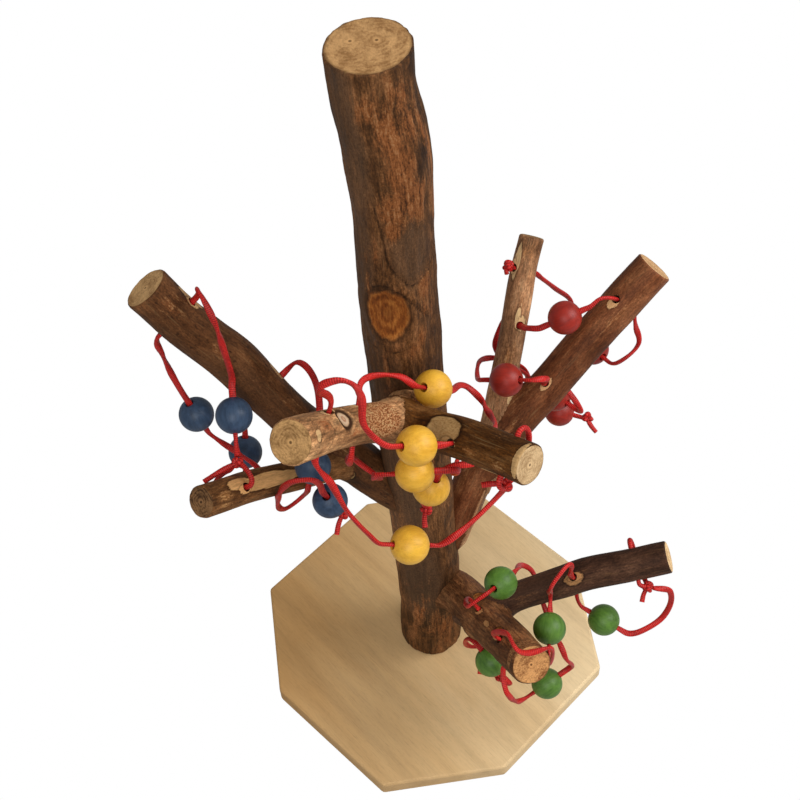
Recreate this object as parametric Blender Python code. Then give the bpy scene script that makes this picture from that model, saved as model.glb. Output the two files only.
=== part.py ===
"""Threading tree: a bark log on a pale board, four forked sticks pegged to it, and on
each fork a knotted lace that runs through drilled holes and carries five wooden beads.

Metres, +Z up. The origin is the centre of the board's underside; the camera side of
the tree is -Y. Each fork and its lace are placed from the fork's own foot, the point
on the trunk's axis that its stem points at.
"""
import math

import bmesh
import bpy
from mathutils import Matrix, Vector

# Board
BOARD_WIDTH = 0.200
BOARD_THICKNESS = 0.012
BOARD_EDGE_ROUND = 0.0016
BOARD_ROUND_SEGMENTS = 2
# The corners are sawn off a little askew: shares of half the width along each side
CORNER_CUT_SHARES = (0.446, 0.291)

# Trunk
TRUNK_LENGTH = 0.461
TRUNK_DIAMETER = 0.0365
TRUNK_SIDES = 20
TRUNK_LOBE_SHARE = 0.012
# Share of the length, sway to +X and to +Y as shares of the diameter, girth share
TRUNK_SHARES = (
    (0.00, 0.00, -0.03, 1.02), (0.10, 0.00, -0.04, 1.00), (0.19, -0.02, -0.04, 1.00),
    (0.30, -0.06, -0.03, 0.99), (0.41, -0.11, -0.03, 1.00), (0.50, -0.15, -0.02, 1.01),
    (0.59, -0.19, -0.02, 1.01), (0.68, -0.22, -0.02, 0.99), (0.77, -0.23, -0.01, 0.95),
    (0.83, -0.23, 0.00, 0.97), (0.875, -0.25, 0.01, 1.01), (0.91, -0.28, 0.01, 0.98),
    (0.95, -0.35, 0.01, 0.945), (1.00, -0.38, 0.01, 0.955),
)
KNOT_SCAR_WIDTH = 0.022
KNOT_SCAR_HEIGHT = 0.034
KNOT_SCAR_HEIGHT_SHARE = 0.708
KNOT_SCAR_STAND = 0.0012
KNOT_SCAR_HEADING = math.radians(-112)

# What joins the pieces
SEAT_GAP = 0.0003
PEG_DIAMETER = 0.006
PEG_LENGTH = 0.028
PEG_END_ROOM = 0.0005
PEG_CHAMFER = 0.0008
PEG_SIDES = 12
SCREW_LENGTH = 0.040
SCREW_SHANK_DIAMETER = 0.0042
SCREW_HEAD_DIAMETER = 0.0084
SCREW_HEAD_DEPTH = 0.0026
SCREW_TIP_LENGTH = 0.005
SCREW_SPACING = 0.022
SCREW_SIDES = 16
SLOT_WIDTH = 0.0011
SLOT_LENGTH = 0.0050
SLOT_DEPTH = 0.0012
SINK = 0.0004

# Laces, beads and knots
LACE_DIAMETER = 0.003
LACE_HOLE_DIAMETER = 0.0046
HOLE_RUN_OUT = 0.0025
KNOT_RUN_OUT = 0.0005
HOLE_SIDES = 12
BEAD_DIAMETER = 0.018
BEAD_PLAY = 0.0005
BEAD_SIDES = 14
BEAD_RINGS = 7
BEAD_TRAVEL = 0.004
LACE_STEP = 0.0072
KNOT_DIAMETER = 0.006
LOOP_CLEARANCE = 0.0008
LOOP_RUN_OUT = 0.0015
LOOP_BEND = 0.003
TUBE_SIDES = 8
# Cut tail of each knot: heading from +X, rise above level, length
TIE_TAILS = {
    "blue": (math.radians(-164), math.radians(-15), 0.016),
    "yellow": (math.radians(172), math.radians(2), 0.0076),
    "green": (math.radians(-126), math.radians(-33), 0.006),
    "red": (math.radians(-110), math.radians(-20), 0.006),
}
END_TAILS = {
    "blue": (math.radians(-121), math.radians(-35), 0.0087),
    "yellow": (math.radians(-105), math.radians(-37), 0.0062),
    "green": (math.radians(161), math.radians(11), 0.011),
    "red": (math.radians(-60), math.radians(-35), 0.007),
}
# Tie loop round a prong's tip: share of the prong, then heading and rise of its hole and
# of the flank that the loop goes round
TIE_LOOPS = {
    "blue": (0.783, math.radians(-17.7), math.radians(36.0), math.radians(102.4), math.radians(34.7)),
    "yellow": (0.847, math.radians(-126.2), math.radians(-32.7), math.radians(16.4), math.radians(-51.1)),
    "green": (0.830, math.radians(-87.0), math.radians(-28.8), math.radians(52.5), math.radians(-54.1)),
}

# Sticks
STICK_SIDES = 14
STICK_RINGS = 11
STICK_LOBE_SHARE = 0.02
END_EASE_SHARE = 0.07
CUT_OVERRUN = 0.004

# Blue fork, on the left of the trunk. Lengths, then angles from +X and above level.
BLUE_FOOT_HEIGHT = 0.158
BLUE_SEAT_HEADING = math.radians(176)
BLUE_LIMB_LENGTH = 0.2117
BLUE_LIMB_HEADING = math.radians(167.1)
BLUE_LIMB_RISE = math.radians(54.1)
BLUE_LIMB_ROOT_DIAMETER = 0.0230
BLUE_LIMB_TIP_DIAMETER = 0.0237
BLUE_CROTCH_SHARE = 0.270
BLUE_PRONG_LENGTH = 0.1136
BLUE_PRONG_HEADING = math.radians(-142.3)
BLUE_PRONG_RISE = math.radians(34.5)
BLUE_PRONG_ROOT_DIAMETER = 0.0153
BLUE_PRONG_TIP_DIAMETER = 0.0158
# Share of the length, sideways and upward wander as shares of it, girth share
BLUE_LIMB_SHARES = (
    (0.00, 0.000, 0.000, 1.00), (0.20, -0.023, -0.002, 1.00), (0.34, -0.018, -0.009, 0.98),
    (0.47, -0.027, -0.012, 0.96), (0.60, -0.022, -0.004, 0.98), (0.72, -0.012, 0.003, 1.05),
    (0.80, -0.010, 0.001, 1.00), (0.89, -0.010, -0.001, 0.98), (1.00, 0.000, 0.000, 1.00),
)
BLUE_PRONG_SHARES = (
    (0.00, 0.000, 0.000, 1.00), (0.32, 0.012, -0.009, 0.99), (0.67, 0.018, -0.004, 1.00),
    (1.00, 0.000, 0.000, 1.00),
)

# Red fork, behind the trunk's right side
RED_FOOT_HEIGHT = 0.098
RED_SEAT_HEADING = math.radians(24)
RED_LIMB_LENGTH = 0.2201
RED_LIMB_HEADING = math.radians(24.1)
RED_LIMB_RISE = math.radians(48.0)
RED_LIMB_ROOT_DIAMETER = 0.0220
RED_LIMB_TIP_DIAMETER = 0.0208
RED_CROTCH_SHARE = 0.377
RED_PRONG_LENGTH = 0.1234
RED_PRONG_HEADING = math.radians(63.5)
RED_PRONG_RISE = math.radians(52.8)
RED_PRONG_ROOT_DIAMETER = 0.0157
RED_PRONG_TIP_DIAMETER = 0.0139
RED_LIMB_SHARES = (
    (0.00, 0.000, 0.000, 1.00), (0.18, 0.007, 0.032, 1.00), (0.33, -0.013, 0.055, 1.00),
    (0.51, -0.013, 0.052, 1.01), (0.61, -0.007, 0.042, 1.00), (0.75, -0.006, 0.030, 1.01),
    (0.88, -0.005, 0.012, 1.01), (1.00, 0.000, 0.000, 1.00),
)
RED_PRONG_SHARES = (
    (0.00, 0.000, 0.000, 1.00), (0.17, -0.002, 0.017, 1.01), (0.42, 0.000, 0.030, 0.99),
    (0.57, 0.001, 0.026, 0.98), (0.85, -0.006, 0.014, 0.99), (1.00, 0.000, 0.000, 1.00),
)

# Green fork, low on the front right
GREEN_FOOT_HEIGHT = 0.070
GREEN_SEAT_HEADING = math.radians(-68)
GREEN_LIMB_LENGTH = 0.1294
GREEN_LIMB_HEADING = math.radians(-67.6)
GREEN_LIMB_RISE = math.radians(34.5)
GREEN_LIMB_ROOT_DIAMETER = 0.0250
GREEN_LIMB_TIP_DIAMETER = 0.0220
GREEN_CROTCH_SHARE = 0.433
GREEN_PRONG_LENGTH = 0.1125
GREEN_PRONG_HEADING = math.radians(-2.8)
GREEN_PRONG_RISE = math.radians(24.6)
GREEN_PRONG_ROOT_DIAMETER = 0.0166
GREEN_PRONG_TIP_DIAMETER = 0.0181
GREEN_LIMB_SHARES = (
    (0.00, 0.000, 0.000, 1.00), (0.17, -0.057, -0.008, 1.02), (0.41, -0.054, -0.036, 1.03),
    (0.72, -0.029, -0.022, 1.03), (1.00, 0.000, 0.000, 1.00),
)
GREEN_PRONG_SHARES = (
    (0.00, 0.000, 0.000, 1.00), (0.18, -0.029, 0.034, 0.98), (0.31, -0.030, 0.039, 0.98),
    (0.46, -0.030, 0.036, 1.05), (0.60, -0.030, 0.036, 1.07), (0.79, -0.015, 0.017, 1.03),
    (1.00, 0.000, 0.000, 1.00),
)

# Yellow fork, at the front, half way up
YELLOW_FOOT_HEIGHT = 0.256
YELLOW_SEAT_HEADING = math.radians(-98)
YELLOW_LIMB_LENGTH = 0.1435
YELLOW_LIMB_HEADING = math.radians(-122.9)
YELLOW_LIMB_RISE = math.radians(42.3)
YELLOW_LIMB_ROOT_DIAMETER = 0.0200
YELLOW_LIMB_TIP_DIAMETER = 0.0202
YELLOW_CROTCH_SHARE = 0.385
YELLOW_PRONG_LENGTH = 0.0766
YELLOW_PRONG_HEADING = math.radians(-45.3)
YELLOW_PRONG_RISE = math.radians(18.9)
YELLOW_PRONG_ROOT_DIAMETER = 0.0191
YELLOW_PRONG_TIP_DIAMETER = 0.0190
YELLOW_LIMB_SHARES = (
    (0.00, 0.000, 0.000, 1.00), (0.20, -0.060, 0.006, 0.98), (0.38, -0.098, 0.006, 0.95),
    (0.59, -0.049, 0.008, 0.89), (0.80, -0.011, 0.001, 0.92), (1.00, 0.000, 0.000, 1.00),
)
YELLOW_PRONG_SHARES = (
    (0.00, 0.000, 0.000, 1.00), (0.27, -0.018, -0.003, 0.96), (0.55, -0.021, 0.006, 1.00),
    (0.80, -0.012, 0.001, 1.00), (1.00, 0.000, 0.000, 1.00),
)

# Lace routes. Free points and bead centres are in metres from the fork's foot. A drilled
# hole gives its stick, its share of that stick's length, and the heading and rise in
# degrees that the lace takes through it.
BLUE_ROUTE = (
    ("free", (-0.0900, -0.0295, 0.1085)),
    ("bead", (-0.0895, -0.0115, 0.1170)),
    ("free", (-0.0880, 0.0030, 0.1285)),
    ("free", (-0.0895, 0.0045, 0.1515)),
    ("free", (-0.0910, 0.0060, 0.1675)),
    ("free", (-0.0960, 0.0170, 0.1755)),
    ("limb", 0.898, -170, -42),
    ("free", (-0.1205, 0.0210, 0.1305)),
    ("bead", (-0.1110, 0.0160, 0.0865)),
    ("free", (-0.1030, 0.0120, 0.0680)),
    ("free", (-0.0935, 0.0075, 0.0595)),
    ("free", (-0.0840, 0.0015, 0.0495)),
    ("free", (-0.0860, -0.0050, 0.0405)),
    ("free", (-0.0930, 0.0015, 0.0320)),
    ("bead", (-0.0910, 0.0175, 0.0465)),
    ("free", (-0.0875, 0.0225, 0.0685)),
    ("limb", 0.598, 30, 25),
    ("free", (-0.0555, 0.0180, 0.1145)),
    ("free", (-0.0490, 0.0055, 0.1150)),
    ("free", (-0.0485, -0.0140, 0.1135)),
    ("bead", (-0.0555, -0.0265, 0.0875)),
    ("free", (-0.0635, -0.0245, 0.0590)),
    ("free", (-0.0730, -0.0300, 0.0585)),
    ("free", (-0.0750, -0.0360, 0.0760)),
    ("free", (-0.0675, -0.0435, 0.1005)),
    ("free", (-0.0560, -0.0435, 0.1000)),
    ("bead", (-0.0495, -0.0320, 0.0635)),
    ("free", (-0.0445, -0.0250, 0.0410)),
)
YELLOW_ROUTE = (
    ("free", (0.0315, -0.0885, 0.0425)),
    ("free", (0.0330, -0.0735, 0.0145)),
    ("free", (0.0205, -0.0800, 0.0065)),
    ("free", (0.0085, -0.0885, 0.0065)),
    ("bead", (-0.0125, -0.0930, 0.0120)),
    ("free", (-0.0305, -0.0925, 0.0250)),
    ("free", (-0.0385, -0.0880, 0.0390)),
    ("free", (-0.0435, -0.0825, 0.0525)),
    ("limb", 0.796, 47, 56),
    ("free", (-0.0435, -0.0750, 0.1115)),
    ("free", (-0.0335, -0.0765, 0.1160)),
    ("free", (-0.0270, -0.0750, 0.1030)),
    ("free", (-0.0270, -0.0770, 0.0855)),
    ("free", (-0.0215, -0.0805, 0.0770)),
    ("bead", (-0.0055, -0.0775, 0.0660)),
    ("prong", 0.520, 32, -29),
    ("free", (0.0340, -0.0215, 0.0145)),
    ("free", (0.0265, -0.0120, 0.0180)),
    ("bead", (0.0085, -0.0300, 0.0425)),
    ("free", (-0.0070, -0.0340, 0.0600)),
    ("free", (-0.0185, -0.0365, 0.0660)),
    ("free", (-0.0250, -0.0430, 0.0705)),
    ("limb", 0.615, -112, -45),
    ("free", (-0.0320, -0.0450, 0.0170)),
    ("free", (-0.0220, -0.0530, 0.0115)),
    ("bead", (-0.0065, -0.0740, 0.0410)),
    ("free", (0.0135, -0.0570, 0.0130)),
    ("free", (0.0180, -0.0455, 0.0110)),
    ("free", (0.0205, -0.0385, 0.0190)),
    ("free", (0.0275, -0.0430, 0.0260)),
    ("free", (0.0310, -0.0540, 0.0255)),
    ("free", (0.0225, -0.0625, 0.0260)),
    ("free", (0.0105, -0.0635, 0.0265)),
    ("bead", (0.0020, -0.0610, 0.0080)),
    ("free", (-0.0005, -0.0575, -0.0130)),
)
GREEN_ROUTE = (
    ("free", (0.1175, -0.0565, 0.0590)),
    ("free", (0.1280, -0.0570, 0.0525)),
    ("free", (0.1260, -0.0600, 0.0315)),
    ("free", (0.1120, -0.0640, 0.0240)),
    ("bead", (0.0930, -0.0545, 0.0260)),
    ("free", (0.0800, -0.0395, 0.0330)),
    ("prong", 0.533, -128, 57),
    ("free", (0.0675, -0.0580, 0.1000)),
    ("free", (0.0570, -0.0670, 0.0960)),
    ("bead", (0.0570, -0.0700, 0.0550)),
    ("free", (0.0505, -0.0960, 0.0845)),
    ("free", (0.0350, -0.0975, 0.0870)),
    ("free", (0.0300, -0.0855, 0.0860)),
    ("limb", 0.808, -16, -45),
    ("free", (0.0325, -0.0715, 0.0205)),
    ("free", (0.0325, -0.0830, 0.0085)),
    ("bead", (0.0580, -0.0720, -0.0085)),
    ("free", (0.0665, -0.0720, 0.0245)),
    ("free", (0.0625, -0.0540, 0.0285)),
    ("free", (0.0600, -0.0430, 0.0335)),
    ("free", (0.0590, -0.0360, 0.0370)),
    ("free", (0.0565, -0.0260, 0.0425)),
    ("free", (0.0505, -0.0250, 0.0490)),
    ("bead", (0.0330, -0.0515, 0.0795)),
    ("free", (0.0140, -0.0630, 0.0805)),
    ("limb", 0.523, -45, -47),
    ("free", (0.0210, -0.0420, -0.0090)),
    ("bead", (0.0265, -0.0625, 0.0110)),
    ("free", (0.0340, -0.0570, -0.0235)),
)
RED_ROUTE = (
    ("prong", 0.850, 8, -35),
    ("free", (0.0780, 0.0800, 0.1445)),
    ("free", (0.0875, 0.0835, 0.1300)),
    ("free", (0.0985, 0.0880, 0.1120)),
    ("free", (0.1010, 0.0880, 0.0930)),
    ("bead", (0.1085, 0.0685, 0.0905)),
    ("free", (0.1195, 0.0510, 0.0985)),
    ("free", (0.1295, 0.0540, 0.1075)),
    ("free", (0.1275, 0.0565, 0.1205)),
    ("limb", 0.887, -140, 48),
    ("free", (0.1025, 0.0465, 0.1595)),
    ("bead", (0.0835, 0.0440, 0.1510)),
    ("free", (0.0660, 0.0465, 0.1430)),
    ("prong", 0.615, 108, -32),
    ("free", (0.0510, 0.0665, 0.1085)),
    ("free", (0.0540, 0.0630, 0.0990)),
    ("free", (0.0675, 0.0670, 0.0805)),
    ("bead", (0.0840, 0.0520, 0.0735)),
    ("free", (0.0940, 0.0340, 0.0820)),
    ("limb", 0.620, -132, 46),
    ("free", (0.0690, 0.0185, 0.1340)),
    ("bead", (0.0490, 0.0240, 0.1305)),
    ("free", (0.0365, 0.0390, 0.1155)),
    ("free", (0.0415, 0.0590, 0.1055)),
    ("free", (0.0545, 0.0680, 0.0935)),
    ("free", (0.0700, 0.0705, 0.0760)),
    ("free", (0.0715, 0.0580, 0.0620)),
    ("bead", (0.0925, 0.0710, 0.0315)),
    ("free", (0.1015, 0.0445, 0.0585)),
)

# Colours
BARK = (0.20, 0.12, 0.07)
BOARD_WOOD = (0.78, 0.62, 0.43)
PEG_WOOD = (0.75, 0.60, 0.42)
STEEL = (0.62, 0.62, 0.60)
LACE_RED = (0.62, 0.04, 0.03)
BEAD_COLOURS = {
    "blue": (0.04, 0.12, 0.30), "yellow": (0.90, 0.50, 0.06),
    "green": (0.04, 0.28, 0.10), "red": (0.55, 0.05, 0.04),
}


def material(name, colour, roughness, metallic=0.0):
    """A plain surface colour for one kind of piece."""
    found = bpy.data.materials.get(name)
    if found:
        return found
    made = bpy.data.materials.new(name)
    made.use_nodes = True
    shader = made.node_tree.nodes["Principled BSDF"]
    shader.inputs["Base Color"].default_value = (*colour, 1.0)
    shader.inputs["Roughness"].default_value = roughness
    shader.inputs["Metallic"].default_value = metallic
    return made


def add_object(name, mesh_data, surface=None):
    """Link a mesh or a curve into the scene under its own name."""
    thing = bpy.data.objects.new(name, mesh_data)
    bpy.context.collection.objects.link(thing)
    if surface:
        mesh_data.materials.clear()
        mesh_data.materials.append(surface)
    return thing


def mesh_object(name, shape, surface=None):
    """Turn a bmesh into an object with its faces pointing out."""
    bmesh.ops.recalc_face_normals(shape, faces=shape.faces)
    data = bpy.data.meshes.new(name)
    shape.to_mesh(data)
    shape.free()
    return add_object(name, data, surface)


def combine(target, tool, operation):
    """Join, or cut away, a tool from a target, and remove the tool."""
    step = target.modifiers.new(operation.lower(), "BOOLEAN")
    step.operation = operation
    step.solver = "EXACT"
    step.object = tool
    bpy.context.view_layer.update()
    graph = bpy.context.evaluated_depsgraph_get()
    result = bpy.data.meshes.new_from_object(target.evaluated_get(graph))
    target.modifiers.clear()
    old = target.data
    target.data = result
    result.name = target.name
    bpy.data.meshes.remove(old)
    bpy.data.objects.remove(tool)


def finish_round(thing, sharp_angle=math.radians(40)):
    """Shade a round piece smooth, with its real edges kept crisp."""
    thing.data.shade_smooth()
    thing.data.set_sharp_from_angle(angle=sharp_angle)


def direction(heading, rise):
    """The unit vector with a heading from +X and a rise above level."""
    level = math.cos(rise)
    return Vector((level * math.cos(heading), level * math.sin(heading), math.sin(rise)))


def interpolate(rows, share):
    """Read a smooth curve through rows whose first entry is their share."""
    last = len(rows) - 1
    index = max(i for i in range(last) if rows[i][0] <= share or i == 0)
    before, start = rows[max(index - 1, 0)], rows[index]
    end, after = rows[index + 1], rows[min(index + 2, last)]
    span = end[0] - start[0]
    t = (share - start[0]) / span
    values = []
    for k in range(1, len(start)):
        slope_in = (end[k] - before[k]) / (end[0] - before[0])
        slope_out = (after[k] - start[k]) / (after[0] - start[0])
        values.append(
            (2 * t**3 - 3 * t**2 + 1) * start[k] + (t**3 - 2 * t**2 + t) * span * slope_in
            + (3 * t**2 - 2 * t**3) * end[k] + (t**3 - t**2) * span * slope_out
        )
    return values


def carried_frames(centres):
    """A side and an up vector for each centre, carried along without twisting."""
    last = len(centres) - 1
    frames = []
    side = None
    for i in range(last + 1):
        ahead = (centres[min(i + 1, last)] - centres[max(i - 1, 0)]).normalized()
        if side is None:
            side = ahead.orthogonal().normalized()
        side = (side - ahead * side.dot(ahead)).normalized()
        frames.append((side, ahead.cross(side)))
    return frames


def round_log(name, centres, radii, sides, lobe_share, surface):
    """A closed log through the centres, slightly lobed, with eased sawn ends."""
    ease = END_EASE_SHARE
    ends = ((centres[0], centres[1], radii[0]), (centres[-1], centres[-2], radii[-1]))
    inner = [end[0] + (end[1] - end[0]).normalized() * end[2] * ease for end in ends]
    path = [centres[0], inner[0], *centres[1:-1], inner[1], centres[-1]]
    sizes = [radii[0] * (1 - ease), radii[0], *radii[1:-1], radii[-1], radii[-1] * (1 - ease)]
    frames = carried_frames(path)
    shape = bmesh.new()
    rings = []
    for i, (centre, size, (side, up)) in enumerate(zip(path, sizes, frames)):
        ring = []
        for k in range(sides):
            angle = math.tau * k / sides
            lobe = 1 + lobe_share * (math.cos(3 * angle + 0.5 * i) + 0.5 * math.cos(2 * angle - 0.9 * i))
            around = side * math.cos(angle) + up * math.sin(angle)
            ring.append(shape.verts.new(centre + around * size * lobe))
        rings.append(ring)
    for ring, above in zip(rings, rings[1:]):
        for k in range(sides):
            shape.faces.new((ring[k], ring[(k + 1) % sides], above[(k + 1) % sides], above[k]))
    shape.faces.new(rings[0])
    shape.faces.new(rings[-1])
    return mesh_object(name, shape, surface)


def rod(name, start, end, radius, sides, chamfer=0.0, surface=None):
    """A straight round rod between two points, with an optional chamfer at its ends."""
    axis = end - start
    ahead = axis.normalized()
    side = ahead.orthogonal().normalized()
    up = ahead.cross(side)
    stations = [(start, radius - chamfer), (end, radius - chamfer)]
    if chamfer:
        stations[1:1] = [(start + ahead * chamfer, radius), (end - ahead * chamfer, radius)]
    shape = bmesh.new()
    rings = []
    for centre, size in stations:
        ring = []
        for k in range(sides):
            angle = math.tau * (k + 0.5) / sides
            around = side * math.cos(angle) + up * math.sin(angle)
            ring.append(shape.verts.new(centre + around * size))
        rings.append(ring)
    for ring, above in zip(rings, rings[1:]):
        for k in range(sides):
            shape.faces.new((ring[k], ring[(k + 1) % sides], above[(k + 1) % sides], above[k]))
    shape.faces.new(rings[0])
    shape.faces.new(rings[-1])
    return mesh_object(name, shape, surface)


def trunk_centre(height):
    """The trunk's centre at a height above the floor, and its radius there."""
    share = (height - BOARD_THICKNESS - SEAT_GAP) / TRUNK_LENGTH
    sway_x, sway_y, girth = interpolate(TRUNK_SHARES, min(max(share, 0.0), 1.0))
    centre = Vector((sway_x * TRUNK_DIAMETER, sway_y * TRUNK_DIAMETER, height))
    return centre, TRUNK_DIAMETER / 2 * girth


class Stick:
    """One stick of a fork: a gently wandering, tapering round limb."""

    def __init__(self, start, length, heading, rise, root_diameter, tip_diameter, rows):
        self.start, self.length, self.rows = start, length, rows
        self.ahead = direction(heading, rise)
        self.side = self.ahead.cross(Vector((0, 0, 1))).normalized()
        self.lift = self.side.cross(self.ahead)
        self.root, self.tip = root_diameter / 2, tip_diameter / 2

    def centre(self, share):
        aside, lift, _ = interpolate(self.rows, share)
        return self.start + (self.ahead * share + self.side * aside + self.lift * lift) * self.length

    def radius(self, share):
        girth = interpolate(self.rows, share)[2]
        return (self.root + (self.tip - self.root) * share) * girth

    def along(self, share, step=0.01):
        return (self.centre(min(share + step, 1.0)) - self.centre(max(share - step, 0.0))).normalized()

    def nearest_share(self, point):
        return min((k / 200 for k in range(201)), key=lambda s: (self.centre(s) - point).length)

    def log(self, name):
        shares = [k / STICK_RINGS for k in range(STICK_RINGS + 1)]
        centres = [self.centre(share) for share in shares]
        radii = [self.radius(share) for share in shares]
        return round_log(name, centres, radii, STICK_SIDES, STICK_LOBE_SHARE, bark())


def bark():
    return material("bark", BARK, 0.85)


def expand_route(foot, sticks, route):
    """Knots of a lace: each a point, its tangent, and whether it opens a straight run."""
    places = [
        sticks[entry[0]].centre(entry[1]) if entry[0] in sticks else foot + Vector(entry[1])
        for entry in route
    ]
    knots = []
    runs = []
    for i, entry in enumerate(route):
        if entry[0] == "free":
            knots.append([places[i], None, False])
            continue
        if entry[0] == "bead":
            ahead = (places[i + 1] - places[i - 1]).normalized()
            reach = BEAD_DIAMETER / 2 + BEAD_TRAVEL + BEAD_PLAY
        else:
            ahead = direction(math.radians(entry[2]), math.radians(entry[3]))
            reach = sticks[entry[0]].radius(entry[1]) + (HOLE_RUN_OUT if i else KNOT_RUN_OUT)
        runs.append((entry[0] == "bead", places[i], ahead, reach))
        knots.append([places[i] - ahead * reach, ahead, True])
        knots.append([places[i] + ahead * reach, ahead, False])
    last = len(knots) - 1
    for i, knot in enumerate(knots):
        if knot[1] is None:
            knot[1] = (knots[min(i + 1, last)][0] - knots[max(i - 1, 0)][0]).normalized()
    return knots, runs


def lace_points(knots):
    """Points a few diameters apart on one smooth curve through the knots."""
    points = []
    for (start, ahead, straight), (end, beyond, _) in zip(knots, knots[1:]):
        chord = (end - start).length
        count = 1 if straight else max(1, round(chord / LACE_STEP))
        for k in range(count):
            t = k / count
            points.append(
                start * (2 * t**3 - 3 * t**2 + 1) + ahead * chord * (t**3 - 2 * t**2 + t)
                + end * (3 * t**2 - 2 * t**3) + beyond * chord * (t**3 - t**2)
            )
    points.append(knots[-1][0])
    return points


def cord_tube(name, points):
    """A lace as a round tube through its points."""
    data = bpy.data.curves.new(name, "CURVE")
    data.dimensions = "3D"
    data.bevel_depth = LACE_DIAMETER / 2
    data.bevel_resolution = 2
    data.use_fill_caps = True
    spline = data.splines.new("POLY")
    spline.points.add(len(points) - 1)
    for slot, point in zip(spline.points, points):
        slot.co = (*point, 1.0)
    return add_object(name, data, material("lace", LACE_RED, 0.5))


def knot_ball(name, centre, tail):
    """A pulled-tight stopper knot, with the lace's cut tail standing out of it."""
    heading, rise, length = tail
    shape = bmesh.new()
    bmesh.ops.create_uvsphere(shape, u_segments=10, v_segments=6, radius=KNOT_DIAMETER / 2)
    bmesh.ops.translate(shape, verts=shape.verts, vec=centre)
    ball = mesh_object(name, shape, material("lace", LACE_RED, 0.5))
    end = centre + direction(heading, rise) * (KNOT_DIAMETER / 2 + length)
    combine(ball, rod(name + "_tail", centre, end, LACE_DIAMETER / 2, TUBE_SIDES), "UNION")
    finish_round(ball)
    return ball


def tie_loop(name, prong, place, ball):
    """The lace tied round a prong: a closed loop through the hole and over one flank."""
    share, hole_heading, hole_rise, flank_heading, flank_rise = place
    centre, along, radius = prong.centre(share), prong.along(share), prong.radius(share)
    through = direction(hole_heading, hole_rise)
    through = (through - along * through.dot(along)).normalized()
    flank = direction(flank_heading, flank_rise)
    flank = (flank - along * flank.dot(along) - through * flank.dot(through)).normalized()
    out = radius + LOOP_RUN_OUT
    high = radius + LOOP_CLEARANCE + LACE_DIAMETER / 2
    aside = (ball - centre).dot(flank)
    knots = [(centre + through * out, through)]
    if aside > LOOP_BEND * 1.5:
        knots.append((centre + through * (out + LOOP_BEND) + flank * LOOP_BEND, flank))
        knots.append((ball, (flank - through).normalized()))
    else:
        knots.append((ball, flank))
    knots.append((centre + flank * high, -through))
    knots.append((centre - through * (out + LOOP_BEND) + flank * LOOP_BEND, -flank))
    knots.append((centre - through * out, through))
    points = [centre]
    for (start, ahead), (end, beyond) in zip(knots, knots[1:]):
        chord = (end - start).length
        for k in range(4):
            t = k / 4
            points.append(
                start * (2 * t**3 - 3 * t**2 + 1) + ahead * chord * (t**3 - 2 * t**2 + t)
                + end * (3 * t**2 - 2 * t**3) + beyond * chord * (t**3 - t**2)
            )
    points.append(knots[-1][0])
    shape = bmesh.new()
    rings = []
    count = len(points)
    for i, point in enumerate(points):
        ahead = (points[(i + 1) % count] - points[i - 1]).normalized()
        side = (along - ahead * along.dot(ahead)).normalized()
        up = ahead.cross(side)
        ring = []
        for k in range(TUBE_SIDES):
            angle = math.tau * k / TUBE_SIDES
            around = side * math.cos(angle) + up * math.sin(angle)
            ring.append(shape.verts.new(point + around * LACE_DIAMETER / 2))
        rings.append(ring)
    for i, ring in enumerate(rings):
        above = rings[(i + 1) % count]
        for k in range(TUBE_SIDES):
            n = (k + 1) % TUBE_SIDES
            shape.faces.new((ring[k], ring[n], above[n], above[k]))
    reach = through * (out + CUT_OVERRUN)
    hole = rod("tie_hole", centre - reach, centre + reach, LACE_HOLE_DIAMETER / 2, HOLE_SIDES)
    return mesh_object(name, shape), hole


def bead(name, centre, ahead, colour):
    """A turned wooden bead, bored through, strung along its lace."""
    outer = BEAD_DIAMETER / 2
    bore = LACE_DIAMETER / 2 + BEAD_PLAY
    edge = math.asin(bore / outer)
    shape = bmesh.new()
    profile = []
    for k in range(BEAD_RINGS + 1):
        angle = edge + (math.pi - 2 * edge) * k / BEAD_RINGS
        profile.append(shape.verts.new((outer * math.sin(angle), 0, outer * math.cos(angle))))
    profile.append(profile[0])
    edges = [shape.edges.new(pair) for pair in zip(profile, profile[1:])]
    bmesh.ops.spin(
        shape, geom=edges, cent=(0, 0, 0), axis=(0, 0, 1), angle=math.tau,
        steps=BEAD_SIDES, use_merge=True, use_duplicate=False,
    )
    bmesh.ops.remove_doubles(shape, verts=shape.verts, dist=SEAT_GAP / 10)
    thing = mesh_object(name, shape, material(colour + "_bead", BEAD_COLOURS[colour], 0.55))
    thing.matrix_world = Matrix.Translation(centre) @ ahead.to_track_quat("Z", "Y").to_matrix().to_4x4()
    finish_round(thing)
    return thing


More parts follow.
